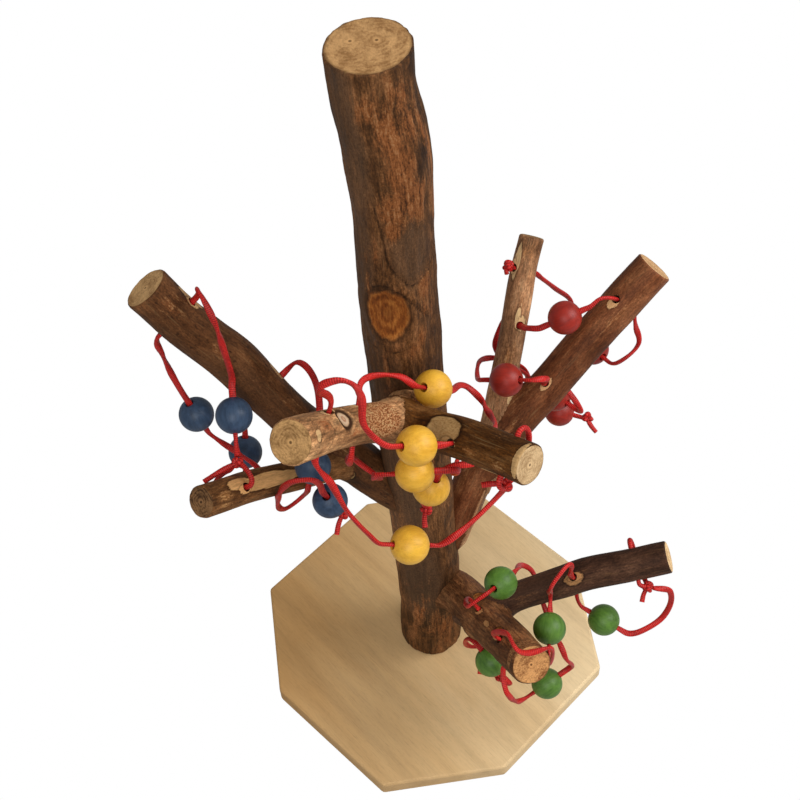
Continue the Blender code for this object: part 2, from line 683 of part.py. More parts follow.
def make_board():
    """The board: a square with its four corners sawn off, edges eased, two screw holes."""
    half = BOARD_WIDTH / 2
    first, second = CORNER_CUT_SHARES
    corners = []
    for quarter in range(4):
        turn = Matrix.Rotation(math.tau * quarter / 4, 2)
        for point in ((half, -half * first), (half, half * second)):
            x, y = turn @ Vector(point)
            corners.append((x, y))
    shape = bmesh.new()
    face = shape.faces.new([shape.verts.new((x, y, 0)) for x, y in corners])
    grown = bmesh.ops.extrude_face_region(shape, geom=[face])
    top = [item for item in grown["geom"] if isinstance(item, bmesh.types.BMVert)]
    bmesh.ops.translate(shape, verts=top, vec=(0, 0, BOARD_THICKNESS))
    bmesh.ops.recalc_face_normals(shape, faces=shape.faces)
    bmesh.ops.bevel(
        shape, geom=shape.edges[:], offset=BOARD_EDGE_ROUND, segments=BOARD_ROUND_SEGMENTS,
        profile=0.5, affect="EDGES",
    )
    board = mesh_object("base_board", shape, material("board", BOARD_WOOD, 0.5))
    for offset in screw_places():
        combine(board, screw_shape("screw_hole", offset, SEAT_GAP), "DIFFERENCE")
    finish_round(board, math.radians(30))
    return board


def screw_places():
    """Where the two screws stand, either side of the board's centre."""
    return [Vector((sign * SCREW_SPACING / 2, 0, 0)) for sign in (-1, 1)]


def screw_shape(name, foot, clearance):
    """A countersunk wood screw, head down, or with a clearance the hole that takes it."""
    shank = SCREW_SHANK_DIAMETER / 2 + clearance
    head = SCREW_HEAD_DIAMETER / 2 + clearance
    low = -SINK if clearance else SINK
    rows = [
        (0, low), (head, low), (head, SINK + clearance), (shank, SCREW_HEAD_DEPTH + clearance),
        (shank, SCREW_LENGTH - SCREW_TIP_LENGTH + clearance), (0, SCREW_LENGTH + clearance),
    ]
    if not clearance:
        rows.pop(2)
    return turned(name, rows, foot, SCREW_SIDES)


def turned(name, rows, foot, sides, surface=None):
    """A solid of revolution about an upright axis, from radius and height rows."""
    shape = bmesh.new()
    rings = []
    for radius, height in rows:
        if radius == 0:
            rings.append([shape.verts.new(foot + Vector((0, 0, height)))])
            continue
        ring = []
        for k in range(sides):
            angle = math.tau * k / sides
            point = Vector((radius * math.cos(angle), radius * math.sin(angle), height))
            ring.append(shape.verts.new(foot + point))
        rings.append(ring)
    for ring, above in zip(rings, rings[1:]):
        for k in range(sides):
            n = (k + 1) % sides
            if len(ring) == 1:
                shape.faces.new((ring[0], above[n], above[k]))
            elif len(above) == 1:
                shape.faces.new((ring[k], ring[n], above[0]))
            else:
                shape.faces.new((ring[k], ring[n], above[n], above[k]))
    return mesh_object(name, shape, surface)


def box(name, centre, sizes):
    """A plain box, used as a cutter."""
    shape = bmesh.new()
    bmesh.ops.create_cube(shape, size=1.0)
    bmesh.ops.scale(shape, vec=sizes, verts=shape.verts)
    bmesh.ops.translate(shape, vec=centre, verts=shape.verts)
    return mesh_object(name, shape)


def make_screws():
    """The two screws that hold the trunk to the board."""
    for index, foot in enumerate(screw_places()):
        screw = screw_shape(f"base_screw_{index + 1}", foot, 0.0)
        low = foot + Vector((0, 0, SINK))
        for sizes in ((SLOT_LENGTH, SLOT_WIDTH), (SLOT_WIDTH, SLOT_LENGTH)):
            combine(screw, box("slot", low, (*sizes, SLOT_DEPTH * 2)), "DIFFERENCE")
        screw.data.materials.clear()
        screw.data.materials.append(material("steel", STEEL, 0.35, 1.0))
        finish_round(screw, math.radians(30))


def make_trunk():
    """The log, with the oval scar of a sawn side branch, and holes for pegs and screws."""
    shares = [row[0] for row in TRUNK_SHARES]
    dense = sorted(set(shares + [(a + b) / 2 for a, b in zip(shares[3:], shares[4:])]))
    low = BOARD_THICKNESS + SEAT_GAP
    places = [trunk_centre(low + share * TRUNK_LENGTH) for share in dense]
    trunk = round_log(
        "trunk", [place[0] for place in places], [place[1] for place in places],
        TRUNK_SIDES, TRUNK_LOBE_SHARE, bark(),
    )
    centre, radius = trunk_centre(low + KNOT_SCAR_HEIGHT_SHARE * TRUNK_LENGTH)
    out = direction(KNOT_SCAR_HEADING, 0.0)
    scar = rod("scar", centre, centre + out * (radius + KNOT_SCAR_STAND), KNOT_SCAR_WIDTH / 2, 14)
    for vertex in scar.data.vertices:
        vertex.co.z = centre.z + (vertex.co.z - centre.z) * KNOT_SCAR_HEIGHT / KNOT_SCAR_WIDTH
    combine(trunk, scar, "UNION")
    for foot in screw_places():
        combine(trunk, screw_shape("screw_hole", foot, SEAT_GAP), "DIFFERENCE")
    return trunk


def seat_plane(foot_height, heading):
    """A point and outward normal of the flat saw cut that a stem seats with on the trunk."""
    level = direction(heading, 0.0)
    places = [trunk_centre(foot_height + TRUNK_DIAMETER * k / 8) for k in range(-3, 18)]
    lean = math.atan(
        (places[-1][0].dot(level) + places[-1][1] - places[0][0].dot(level) - places[0][1])
        / (places[-1][0].z - places[0][0].z)
    )
    out = direction(heading, -lean)
    reach = max(centre.dot(out) + radius * (1 + 2 * TRUNK_LOBE_SHARE) for centre, radius in places)
    return out * (reach + SEAT_GAP), out


def cut_behind(shape_object, point, normal):
    """Saw a stick off along a plane and keep the side that the normal points to."""
    shape = bmesh.new()
    shape.from_mesh(shape_object.data)
    cut = bmesh.ops.bisect_plane(
        shape, geom=shape.verts[:] + shape.edges[:] + shape.faces[:], plane_co=point,
        plane_no=normal, clear_inner=True,
    )
    rim = [item for item in cut["geom_cut"] if isinstance(item, bmesh.types.BMEdge)]
    bmesh.ops.contextual_create(shape, geom=rim)
    bmesh.ops.recalc_face_normals(shape, faces=shape.faces)
    shape.to_mesh(shape_object.data)
    shape.free()


def make_fork(colour, foot_height, seat_heading, limb_sizes, crotch_share, prong_sizes, route, trunk):
    """A forked stick with its peg, lace, knots and beads, seated against the trunk."""
    foot, _ = trunk_centre(foot_height)
    limb = Stick(foot, *limb_sizes)
    prong = Stick(limb.centre(crotch_share), *prong_sizes)
    fork = limb.log(colour + "_fork")
    combine(fork, prong.log(colour + "_prong"), "UNION")
    point, out = seat_plane(foot_height, seat_heading)
    cut_behind(fork, point, out)

    shares = [k / 200 for k in range(101)]
    seat_share = min(shares, key=lambda share: abs((limb.centre(share) - point).dot(out)))
    middle = limb.centre(seat_share)
    middle = middle - out * (middle - point).dot(out) + Vector((0, 0, PEG_DIAMETER / 2))
    reach = out * (PEG_LENGTH / 2)
    rod(colour + "_peg", middle - reach, middle + reach, PEG_DIAMETER / 2, PEG_SIDES, PEG_CHAMFER,
        material("peg", PEG_WOOD, 0.6))
    room = out * (PEG_LENGTH / 2 + PEG_END_ROOM)
    for body in (fork, trunk):
        combine(body, rod("peg_hole", middle - room, middle + room, PEG_DIAMETER / 2 + SEAT_GAP, PEG_SIDES),
                "DIFFERENCE")

    knots, runs = expand_route(foot, {"limb": limb, "prong": prong}, route)
    count = 0
    for is_bead, centre, ahead, straight in runs:
        if is_bead:
            count += 1
            bead(f"{colour}_bead_{count}", centre, ahead, colour)
            continue
        reach = ahead * (straight + CUT_OVERRUN)
        combine(fork, rod("lace_hole", centre - reach, centre + reach, LACE_HOLE_DIAMETER / 2, HOLE_SIDES),
                "DIFFERENCE")
    points = lace_points(knots)
    cord_tube(colour + "_lace", points)
    stand_off = KNOT_DIAMETER / 2 + SEAT_GAP
    knot_ball(colour + "_end_knot", points[-1] + knots[-1][1] * stand_off, END_TAILS[colour])
    ball = points[0] - knots[0][1] * stand_off
    tie = knot_ball(colour + "_tie_knot", ball, TIE_TAILS[colour])
    if colour in TIE_LOOPS:
        loop, hole = tie_loop(colour + "_loop", prong, TIE_LOOPS[colour], ball)
        combine(fork, hole, "DIFFERENCE")
        combine(tie, loop, "UNION")
        finish_round(tie)
    finish_round(fork)


def main():
    for old in list(bpy.data.objects):
        bpy.data.objects.remove(old)
    make_board()
    make_screws()
    trunk = make_trunk()
    make_fork(
        "blue", BLUE_FOOT_HEIGHT, BLUE_SEAT_HEADING,
        (BLUE_LIMB_LENGTH, BLUE_LIMB_HEADING, BLUE_LIMB_RISE, BLUE_LIMB_ROOT_DIAMETER,
         BLUE_LIMB_TIP_DIAMETER, BLUE_LIMB_SHARES),
        BLUE_CROTCH_SHARE,
        (BLUE_PRONG_LENGTH, BLUE_PRONG_HEADING, BLUE_PRONG_RISE, BLUE_PRONG_ROOT_DIAMETER,
         BLUE_PRONG_TIP_DIAMETER, BLUE_PRONG_SHARES),
        BLUE_ROUTE, trunk,
    )
    make_fork(
        "red", RED_FOOT_HEIGHT, RED_SEAT_HEADING,
        (RED_LIMB_LENGTH, RED_LIMB_HEADING, RED_LIMB_RISE, RED_LIMB_ROOT_DIAMETER,
         RED_LIMB_TIP_DIAMETER, RED_LIMB_SHARES),
        RED_CROTCH_SHARE,
        (RED_PRONG_LENGTH, RED_PRONG_HEADING, RED_PRONG_RISE, RED_PRONG_ROOT_DIAMETER,
         RED_PRONG_TIP_DIAMETER, RED_PRONG_SHARES),
        RED_ROUTE, trunk,
    )
    make_fork(
        "green", GREEN_FOOT_HEIGHT, GREEN_SEAT_HEADING,
        (GREEN_LIMB_LENGTH, GREEN_LIMB_HEADING, GREEN_LIMB_RISE, GREEN_LIMB_ROOT_DIAMETER,
         GREEN_LIMB_TIP_DIAMETER, GREEN_LIMB_SHARES),
        GREEN_CROTCH_SHARE,
        (GREEN_PRONG_LENGTH, GREEN_PRONG_HEADING, GREEN_PRONG_RISE, GREEN_PRONG_ROOT_DIAMETER,
         GREEN_PRONG_TIP_DIAMETER, GREEN_PRONG_SHARES),
        GREEN_ROUTE, trunk,
    )
    make_fork(
        "yellow", YELLOW_FOOT_HEIGHT, YELLOW_SEAT_HEADING,
        (YELLOW_LIMB_LENGTH, YELLOW_LIMB_HEADING, YELLOW_LIMB_RISE, YELLOW_LIMB_ROOT_DIAMETER,
         YELLOW_LIMB_TIP_DIAMETER, YELLOW_LIMB_SHARES),
        YELLOW_CROTCH_SHARE,
        (YELLOW_PRONG_LENGTH, YELLOW_PRONG_HEADING, YELLOW_PRONG_RISE, YELLOW_PRONG_ROOT_DIAMETER,
         YELLOW_PRONG_TIP_DIAMETER, YELLOW_PRONG_SHARES),
        YELLOW_ROUTE, trunk,
    )
    finish_round(trunk)


main()
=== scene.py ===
"""Looks for the threading tree: bark, sawn wood, stained beads and satin laces.

Lengths are in metres and angles in degrees, unless a comment says otherwise.
"""
import math

import bmesh
import bpy
import numpy as np
from mathutils import Matrix, Vector, noise


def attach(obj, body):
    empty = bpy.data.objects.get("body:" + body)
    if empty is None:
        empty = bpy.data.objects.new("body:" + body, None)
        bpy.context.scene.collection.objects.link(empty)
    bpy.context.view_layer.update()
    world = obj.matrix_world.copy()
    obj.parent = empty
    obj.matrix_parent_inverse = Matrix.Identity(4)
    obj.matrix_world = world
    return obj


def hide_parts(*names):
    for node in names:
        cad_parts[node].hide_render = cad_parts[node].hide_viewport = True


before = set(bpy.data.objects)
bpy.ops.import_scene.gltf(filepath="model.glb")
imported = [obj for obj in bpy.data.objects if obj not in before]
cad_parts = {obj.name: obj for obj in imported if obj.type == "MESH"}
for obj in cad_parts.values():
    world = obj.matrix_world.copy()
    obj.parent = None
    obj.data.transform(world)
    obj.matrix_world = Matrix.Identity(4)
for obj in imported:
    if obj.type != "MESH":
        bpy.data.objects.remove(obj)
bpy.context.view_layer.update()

# Camera: place, and its right, down and forward directions
CAMERA_PLACE = (-0.04704, -0.42294, 0.80767)
CAMERA_RIGHT = (0.98968, -0.13766, -0.03975)
CAMERA_DOWN = (-0.13338, -0.78377, -0.60656)
CAMERA_FORWARD = (0.05234, 0.60561, -0.79404)
CAMERA_LENS = 62.68
CAMERA_SENSOR = 36.0

# The tree, as in the frame
BOARD_THICKNESS = 0.012
SEAT_GAP = 0.0003
TRUNK_LENGTH = 0.461
TRUNK_DIAMETER = 0.0365
LACE_DIAMETER = 0.003
HOLE_DIAMETER = 0.0046
HOLE_RUN_OUT = 0.0025
KNOT_RUN_OUT = 0.0005
KNOT_DIAMETER = 0.006
LOOP_CLEARANCE = 0.0008
LOOP_RUN_OUT = 0.0015
LOOP_BEND = 0.003
BEAD_DIAMETER = 0.018
BEAD_PLAY = 0.0005
BEAD_TRAVEL = 0.004
BEAD_CLEARANCE = 0.00015

# The rest is only in the visual model. Mesh density: sides round and spacing along
SIDES = {"trunk": 112, "limb": 64, "prong": 52, "drill": 24, "bead": 48, "cord": 12}
SPACING = {"trunk": 0.0017, "limb": 0.0014, "prong": 0.0014, "lace": 0.0011, "loop": 0.0008}
# Rows along a centreline, and steps round a knot, down a tail and down a bead
TRUNK_ROWS, STICK_ROWS = 241, 161
KNOT_STEPS, TAIL_STEPS, BEAD_STEPS = 60, 13, 26
# Bark: height of its wrinkles and lumps, and their noise scales across and along
BARK_RELIEF = {"trunk": (0.00042, 0.0006), "limb": (0.00022, 0.00045), "prong": (0.00018, 0.00035)}
WRINKLE_SCALES, LUMP_SCALES = (330, 42), (85, 38)
TRUNK_SEED = 3.1
FORK_SEEDS = {"blue": 11.0, "red": 23.0, "green": 37.0, "yellow": 51.0}
# Folds, each with a low lip on both sides
FOLD_DEPTH, FOLD_WIDTH = 0.00042, 0.0007
LIP_HEIGHT, LIP_PLACE, LIP_WIDTH = 0.00025, 0.002, 0.001
# Sawn ends: their eased edge with its two steps, and the rings and roughness of the face
SAWN_EASE, SAWN_STEP, SAWN_DROPS = 0.0009, 0.0004, (0.0007, 0.0002)
SAWN_RINGS, SAWN_ROUGHNESS = (0.86, 0.6, 0.3), 0.00012
# How far a sawn face and a drilled wall may lie off their true place, and from a log's end
SAWN_PLAY, WALL_PLAY = 0.00035, 0.0004
TRUNK_REACH, STICK_REACH = 0.03, 0.02
# Where logs meet: a fillet in the crotch, a saddle on the trunk, and the drill's half length
FILLET_REACH, FILLET_HEIGHT = 0.006, 0.0016
SADDLE_GAP, SADDLE_SPAN = 0.0002, (-0.05, 0.10)
DRILL_REACH = 0.02
# Painted marks: chips beside the holes, shade in a crotch, drifting shade, the trunk's paler
# side, values far from any mark, and where a second log's grain starts
CHIP_HALVES, CHIP_SHIFT, CHIP_REACH = (0.0043, 0.0025), (0.0020, 0.0009), 0.018
CROTCH_SHADE, CROTCH_REACH = 0.16, 0.0022
DRIFT_SHADE, DRIFT_SCALE = 0.16, 31.0
PALE_SHADE, PALE_ANGLE = 0.26, 152
FAR_SCAR, FAR_FOLD = 4.0, 9.0
GRAIN_SHIFT = 0.37
# Cords: half width, half thickness and radians turned per metre; how that turning wobbles;
# then the winding of a knot and the bow of a tail
LACE_SECTION = (0.00174, 0.00106, 70.0)
KNOT_SECTION = (0.0014, 0.00125, 160.0)
CORD_WOBBLE = (1.2, 83)
KNOT_WINDING = 0.0021
TAIL_BOW = 0.0008
# A bead's mouth, from its edge into the bore
MOUTH_EDGE, MOUTH_EASE, MOUTH_ROUND, MOUTH_DEPTH = 0.0004, 0.00012, 0.0003, 0.0008
# Edges that turn by more than this, in radians, are shaded as edges
LOG_SHARP, BEAD_SHARP, CORD_SHARP = (math.radians(angle) for angle in (38, 50, 60))

# The trunk's middle: share of its height, two offsets in diameters, girth
TRUNK_SHARES = (
    (0.0, 0.0, -0.03, 1.02), (0.1, 0.0, -0.04, 1.0), (0.19, -0.02, -0.04, 1.0),
    (0.3, -0.06, -0.03, 0.99), (0.41, -0.11, -0.03, 1.0), (0.5, -0.15, -0.02, 1.01),
    (0.59, -0.19, -0.02, 1.01), (0.68, -0.22, -0.02, 0.99), (0.77, -0.23, -0.01, 0.95),
    (0.83, -0.23, 0.0, 0.97), (0.875, -0.25, 0.01, 1.01), (0.91, -0.28, 0.01, 0.98),
    (0.95, -0.35, 0.01, 0.945), (1.0, -0.38, 0.01, 0.955),
)
# Each fork: foot height and limb, then crotch share and prong. Each stick: length, heading,
# rise, root and tip diameter, then rows of share, sideways and upward wander and girth.
FORKS = {
    "blue": (
        0.158, (0.2117, 167.1, 54.1, 0.023, 0.0237, (
            (0.2, -0.023, -0.002, 1.0), (0.34, -0.018, -0.009, 0.98), (0.47, -0.027, -0.012, 0.96),
            (0.6, -0.022, -0.004, 0.98), (0.72, -0.012, 0.003, 1.05), (0.8, -0.01, 0.001, 1.0),
            (0.89, -0.01, -0.001, 0.98),
        )),
        0.27, (0.1136, -142.3, 34.5, 0.0153, 0.0158, (
            (0.32, 0.012, -0.009, 0.99), (0.67, 0.018, -0.004, 1.0),
        )),
    ),
    "red": (
        0.098, (0.2201, 24.1, 48.0, 0.022, 0.0208, (
            (0.18, 0.007, 0.032, 1.0), (0.33, -0.013, 0.055, 1.0), (0.51, -0.013, 0.052, 1.01),
            (0.61, -0.007, 0.042, 1.0), (0.75, -0.006, 0.03, 1.01), (0.88, -0.005, 0.012, 1.01),
        )),
        0.377, (0.1234, 63.5, 52.8, 0.0157, 0.0139, (
            (0.17, -0.002, 0.017, 1.01), (0.42, 0.0, 0.03, 0.99), (0.57, 0.001, 0.026, 0.98),
            (0.85, -0.006, 0.014, 0.99),
        )),
    ),
    "green": (
        0.07, (0.1294, -67.6, 34.5, 0.025, 0.022, (
            (0.17, -0.057, -0.008, 1.02), (0.41, -0.054, -0.036, 1.03),
            (0.72, -0.029, -0.022, 1.03),
        )),
        0.433, (0.1125, -2.8, 24.6, 0.0166, 0.0181, (
            (0.18, -0.029, 0.034, 0.98), (0.31, -0.03, 0.039, 0.98), (0.46, -0.03, 0.036, 1.05),
            (0.6, -0.03, 0.036, 1.07), (0.79, -0.015, 0.017, 1.03),
        )),
    ),
    "yellow": (
        0.256, (0.1435, -122.9, 42.3, 0.02, 0.0202, (
            (0.2, -0.06, 0.006, 0.98), (0.38, -0.098, 0.006, 0.95), (0.59, -0.049, 0.008, 0.89),
            (0.8, -0.011, 0.001, 0.92),
        )),
        0.385, (0.0766, -45.3, 18.9, 0.0191, 0.019, (
            (0.27, -0.018, -0.003, 0.96), (0.55, -0.021, 0.006, 1.0), (0.8, -0.012, 0.001, 1.0),
        )),
    ),
}
# Cut tail of each knot: heading, rise, length
TIE_TAILS = {
    "blue": (-164, -15, 0.016),
    "yellow": (172, 2, 0.0076),
    "green": (-126, -33, 0.006),
    "red": (-110, -20, 0.0015),
}
END_TAILS = {
    "blue": (-121, -35, 0.0087),
    "yellow": (-105, -37, 0.0062),
    "green": (161, 11, 0.011),
    "red": (-60, -35, 0.007),
}
# Lace tied round a prong: share, then heading and rise of its hole and of its flank
TIE_LOOPS = {
    "blue": (0.783, -17.7, 36.0, 102.4, 34.7),
    "yellow": (0.847, -126.2, -32.7, 16.4, -51.1),
    "green": (0.83, -87.0, -28.8, 52.5, -54.1),
}
# Lace routes. Free points and bead centres are in millimetres from the fork's foot. A
# drilled hole gives its stick, its share of it, and the heading and rise of the lace.
ROUTES = {
    "blue": (
        (-90, -29.5, 108.5), ("bead", -89.5, -11.5, 117), (-88, 3, 128.5), (-89.5, 4.5, 151.5),
        (-91, 6, 167.5), (-96, 17, 175.5), ("limb", 0.898, -170, -42), (-120.5, 21, 130.5),
        ("bead", -111, 16, 86.5), (-103, 12, 68), (-93.5, 7.5, 59.5), (-84, 1.5, 49.5),
        (-86, -5, 40.5), (-93, 1.5, 32), ("bead", -91, 17.5, 46.5), (-87.5, 22.5, 68.5),
        ("limb", 0.598, 30, 25), (-55.5, 18, 114.5), (-49, 5.5, 115), (-48.5, -14, 113.5),
        ("bead", -55.5, -26.5, 87.5), (-63.5, -24.5, 59), (-73, -30, 58.5), (-75, -36, 76),
        (-67.5, -43.5, 100.5), (-56, -43.5, 100), ("bead", -49.5, -32, 63.5), (-44.5, -25, 41),
    ),
    "red": (
        ("prong", 0.85, 8, -35), (78, 80, 144.5), (87.5, 83.5, 130), (98.5, 88, 112),
        (101, 88, 93), ("bead", 108.5, 68.5, 90.5), (119.5, 51, 98.5), (129.5, 54, 107.5),
        (127.5, 56.5, 120.5), ("limb", 0.887, -140, 48), (102.5, 46.5, 159.5),
        ("bead", 83.5, 44, 151), (66, 46.5, 143), ("prong", 0.615, 108, -32), (51, 66.5, 108.5),
        (54, 63, 99), (67.5, 67, 80.5), ("bead", 84, 52, 73.5), (94, 34, 82),
        ("limb", 0.62, -132, 46), (69, 18.5, 134), ("bead", 49, 24, 130.5), (36.5, 39, 115.5),
        (41.5, 59, 105.5), (54.5, 68, 93.5), (70, 70.5, 76), (71.5, 58, 62),
        ("bead", 92.5, 71, 31.5), (101.5, 44.5, 58.5),
    ),
    "green": (
        (117.5, -56.5, 59), (128, -57, 52.5), (126, -60, 31.5), (112, -64, 24),
        ("bead", 93, -54.5, 26), (80, -39.5, 33), ("prong", 0.533, -128, 57), (67.5, -58, 100),
        (57, -67, 96), ("bead", 57, -70, 55), (50.5, -96, 84.5), (35, -97.5, 87), (30, -85.5, 86),
        ("limb", 0.808, -16, -45), (32.5, -71.5, 20.5), (32.5, -83, 8.5), ("bead", 58, -72, -8.5),
        (66.5, -72, 24.5), (62.5, -54, 28.5), (60, -43, 33.5), (59, -36, 37), (56.5, -26, 42.5),
        (50.5, -25, 49), ("bead", 33, -51.5, 79.5), (14, -63, 80.5), ("limb", 0.523, -45, -47),
        (21, -42, -9), ("bead", 26.5, -62.5, 11), (34, -57, -23.5),
    ),
    "yellow": (
        (31.5, -88.5, 42.5), (33, -73.5, 14.5), (20.5, -80, 6.5), (8.5, -88.5, 6.5),
        ("bead", -12.5, -93, 12), (-30.5, -92.5, 25), (-38.5, -88, 39), (-43.5, -82.5, 52.5),
        ("limb", 0.796, 47, 56), (-43.5, -75, 111.5), (-33.5, -76.5, 116), (-27, -75, 103),
        (-27, -77, 85.5), (-21.5, -80.5, 77), ("bead", -5.5, -77.5, 66), ("prong", 0.52, 32, -29),
        (34, -21.5, 14.5), (26.5, -12, 18), ("bead", 8.5, -30, 42.5), (-7, -34, 60),
        (-18.5, -36.5, 66), (-25, -43, 70.5), ("limb", 0.615, -112, -45), (-32, -45, 17),
        (-22, -53, 11.5), ("bead", -6.5, -74, 41), (13.5, -57, 13), (18, -45.5, 11),
        (20.5, -38.5, 19), (27.5, -43, 26), (31, -54, 25.5), (22.5, -62.5, 26),
        (10.5, -63.5, 26.5), ("bead", 2, -61, 8), (-0.5, -57.5, -13),
    ),
}


def unit(v):
    return v / np.linalg.norm(v)


def direction(heading, rise):
    h, e = math.radians(heading), math.radians(rise)
    return np.array((math.cos(e) * math.cos(h), math.cos(e) * math.sin(h), math.sin(e)))


def interpolate(rows, share):
    """The smooth curve through rows whose first entry is their share."""
    last = len(rows) - 1
    index = max(i for i in range(last) if rows[i][0] <= share or i == 0)
    before, start = rows[max(index - 1, 0)], rows[index]
    end, after = rows[index + 1], rows[min(index + 2, last)]
    span = end[0] - start[0]
    t = (share - start[0]) / span
    values = []
    for k in range(1, len(start)):
        slope_in = (end[k] - before[k]) / (end[0] - before[0])
        slope_out = (after[k] - start[k]) / (after[0] - start[0])
        values.append(
            (2 * t**3 - 3 * t**2 + 1) * start[k] + (t**3 - 2 * t**2 + t) * span * slope_in
            + (3 * t**2 - 2 * t**3) * end[k] + (t**3 - t**2) * span * slope_out
        )
    return values


def trunk_at(height):
    """The trunk's centre and radius at a height."""
    share = min(max((height - BOARD_THICKNESS - SEAT_GAP) / TRUNK_LENGTH, 0.0), 1.0)
    x, y, girth = interpolate(TRUNK_SHARES, share)
    return np.array((x * TRUNK_DIAMETER, y * TRUNK_DIAMETER, height)), TRUNK_DIAMETER / 2 * girth


class Log:
    """A dense centreline with radii and frames, for the trunk or a stick."""

    def __init__(self, centres, radii, up_hint=(1.0, 0.0, 0.0)):
        self.c = np.array(centres)
        self.r = np.array(radii)
        self.t = np.gradient(self.c, axis=0)
        self.t /= np.linalg.norm(self.t, axis=1)[:, None]
        self.s = np.r_[0, np.cumsum(np.linalg.norm(np.diff(self.c, axis=0), axis=1))]
        side = np.array(up_hint)
        sides = []
        for t in self.t:
            side = unit(side - t * side.dot(t))
            sides.append(side)
        self.u = np.array(sides)
        self.v = np.cross(self.t, self.u)

    def coordinates(self, points):
        """Along, across u and v, and the distance outside, of each point."""
        out = np.empty((len(points), 4))
        for k in range(0, len(points), 4000):
            p = points[k:k + 4000]
            i = ((p[:, None] - self.c[None]) ** 2).sum(2).argmin(1)
            d = p - self.c[i]
            along = self.s[i] + (d * self.t[i]).sum(1)
            a, b = (d * self.u[i]).sum(1), (d * self.v[i]).sum(1)
            out[k:k + 4000] = np.c_[along, a, b, np.hypot(a, b) - self.r[i]]
        return out


class Stick(Log):
    """One stick of a fork. Its rows give what lies between its two plain ends."""

    def __init__(self, start, length, heading, rise, root, tip, rows):
        ahead = direction(heading, rise)
        side = unit(np.cross(ahead, (0, 0, 1)))
        lift = np.cross(side, ahead)
        rows = ((0.0, 0.0, 0.0, 1.0), *rows, (1.0, 0.0, 0.0, 1.0))
        self.shares = np.linspace(0, 1, STICK_ROWS)
        centres, radii = [], []
        for share in self.shares:
            aside, up, girth = interpolate(rows, share)
            centres.append(start + (ahead * share + side * aside + lift * up) * length)
            radii.append((root + (tip - root) * share) * girth / 2)
        super().__init__(centres, radii, lift)

    def at(self, share):
        return np.array([np.interp(share, self.shares, self.c[:, k]) for k in range(3)])

    def along(self, share):
        return unit(self.at(min(share + 0.01, 1)) - self.at(max(share - 0.01, 0)))

    def radius(self, share):
        return float(np.interp(share, self.shares, self.r))


class Nodes:
    """The shader nodes of a material or world. A method adds a node and gives its output."""

    def __init__(self, owner):
        owner.use_nodes = True
        self.owner = owner
        self.tree = owner.node_tree

    def feed(self, node, inputs):
        """Link or set each named or numbered input of a node."""
        for key, value in inputs.items():
            socket = node.inputs[key]
            if isinstance(value, bpy.types.NodeSocket):
                self.tree.links.new(value, socket)
            else:
                socket.default_value = (*value, 1.0) if socket.type == "RGBA" else value

    def add(self, kind, output, inputs, **settings):
        made = self.tree.nodes.new("ShaderNode" + kind)
        for key, value in settings.items():
            setattr(made, key, value)
        self.feed(made, inputs)
        return made.outputs[output]

    def attribute(self, name, output="Vector"):
        return self.add("Attribute", output, {}, attribute_name=name)

    def separate(self, source):
        return self.add("SeparateXYZ", 0, {0: source}).node.outputs

    def scaled(self, source, scale):
        return self.add("VectorMath", "Vector", {0: source, 1: scale}, operation="MULTIPLY")

    def noise(self, place, scale, detail, rough, distortion=0.0):
        """Noise at a single scale, or stretched by a scale for each axis."""
        if isinstance(scale, tuple):
            place, scale = self.scaled(place, scale), 1.0
        return self.add("TexNoise", "Fac", {"Vector": place, "Scale": scale, "Detail": detail,
                                            "Roughness": rough, "Distortion": distortion})

    def maths(self, operation, *values):
        return self.add("Math", "Value", dict(enumerate(values)), operation=operation)

    def times(self, a, b):
        return self.maths("MULTIPLY", a, b)

    def total(self, result, *others):
        for other in others:
            result = self.maths("ADD", result, other)
        return result

    def swing(self, source, amount):
        """A noise about its middle, scaled: adds raggedness to an edge."""
        return self.times(self.maths("SUBTRACT", source, 0.5), amount)

    def ramp(self, source, *stops):
        """Colours or grey levels along a value, each with its place."""
        made = self.tree.nodes.new("ShaderNodeValToRGB")
        elements = made.color_ramp.elements
        while len(elements) < len(stops):
            elements.new(0.5)
        for element, (place, colour) in zip(elements, stops):
            element.position = place
            element.color = (*(colour if isinstance(colour, tuple) else (colour,) * 3), 1.0)
        self.feed(made, {"Fac": source})
        return made.outputs["Color"]

    def step(self, source, low, high):
        return self.ramp(source, (low, 0.0), (high, 1.0))

    def mix(self, factor, a, b, kind="MIX"):
        return self.add("Mix", 2, {"Factor": factor, 6: a, 7: b}, data_type="RGBA", blend_type=kind)

    def shade(self, factor, base, source, *stops):
        """A colour darkened and lightened along a value."""
        return self.mix(factor, base, self.ramp(source, *stops), "MULTIPLY")

    def finish(self, colour, roughness, specular, *bumps, metallic=0.0):
        """Dress the surface. Each bump is a height, a strength and a distance."""
        normal = {}
        for height, strength, distance in bumps:
            inputs = {"Height": height, "Strength": strength, "Distance": distance}
            normal = {"Normal": self.add("Bump", "Normal", {**inputs, **normal})}
        self.feed(self.tree.nodes["Principled BSDF"], {
            "Base Color": colour, "Roughness": roughness, "Specular IOR Level": specular,
            "Metallic": metallic, **normal,
        })
        return self.owner


def material_nodes(name):
    return Nodes(bpy.data.materials.new(name))


def dim(colour, share):
    return tuple(min(c * share, 1.0) for c in colour)


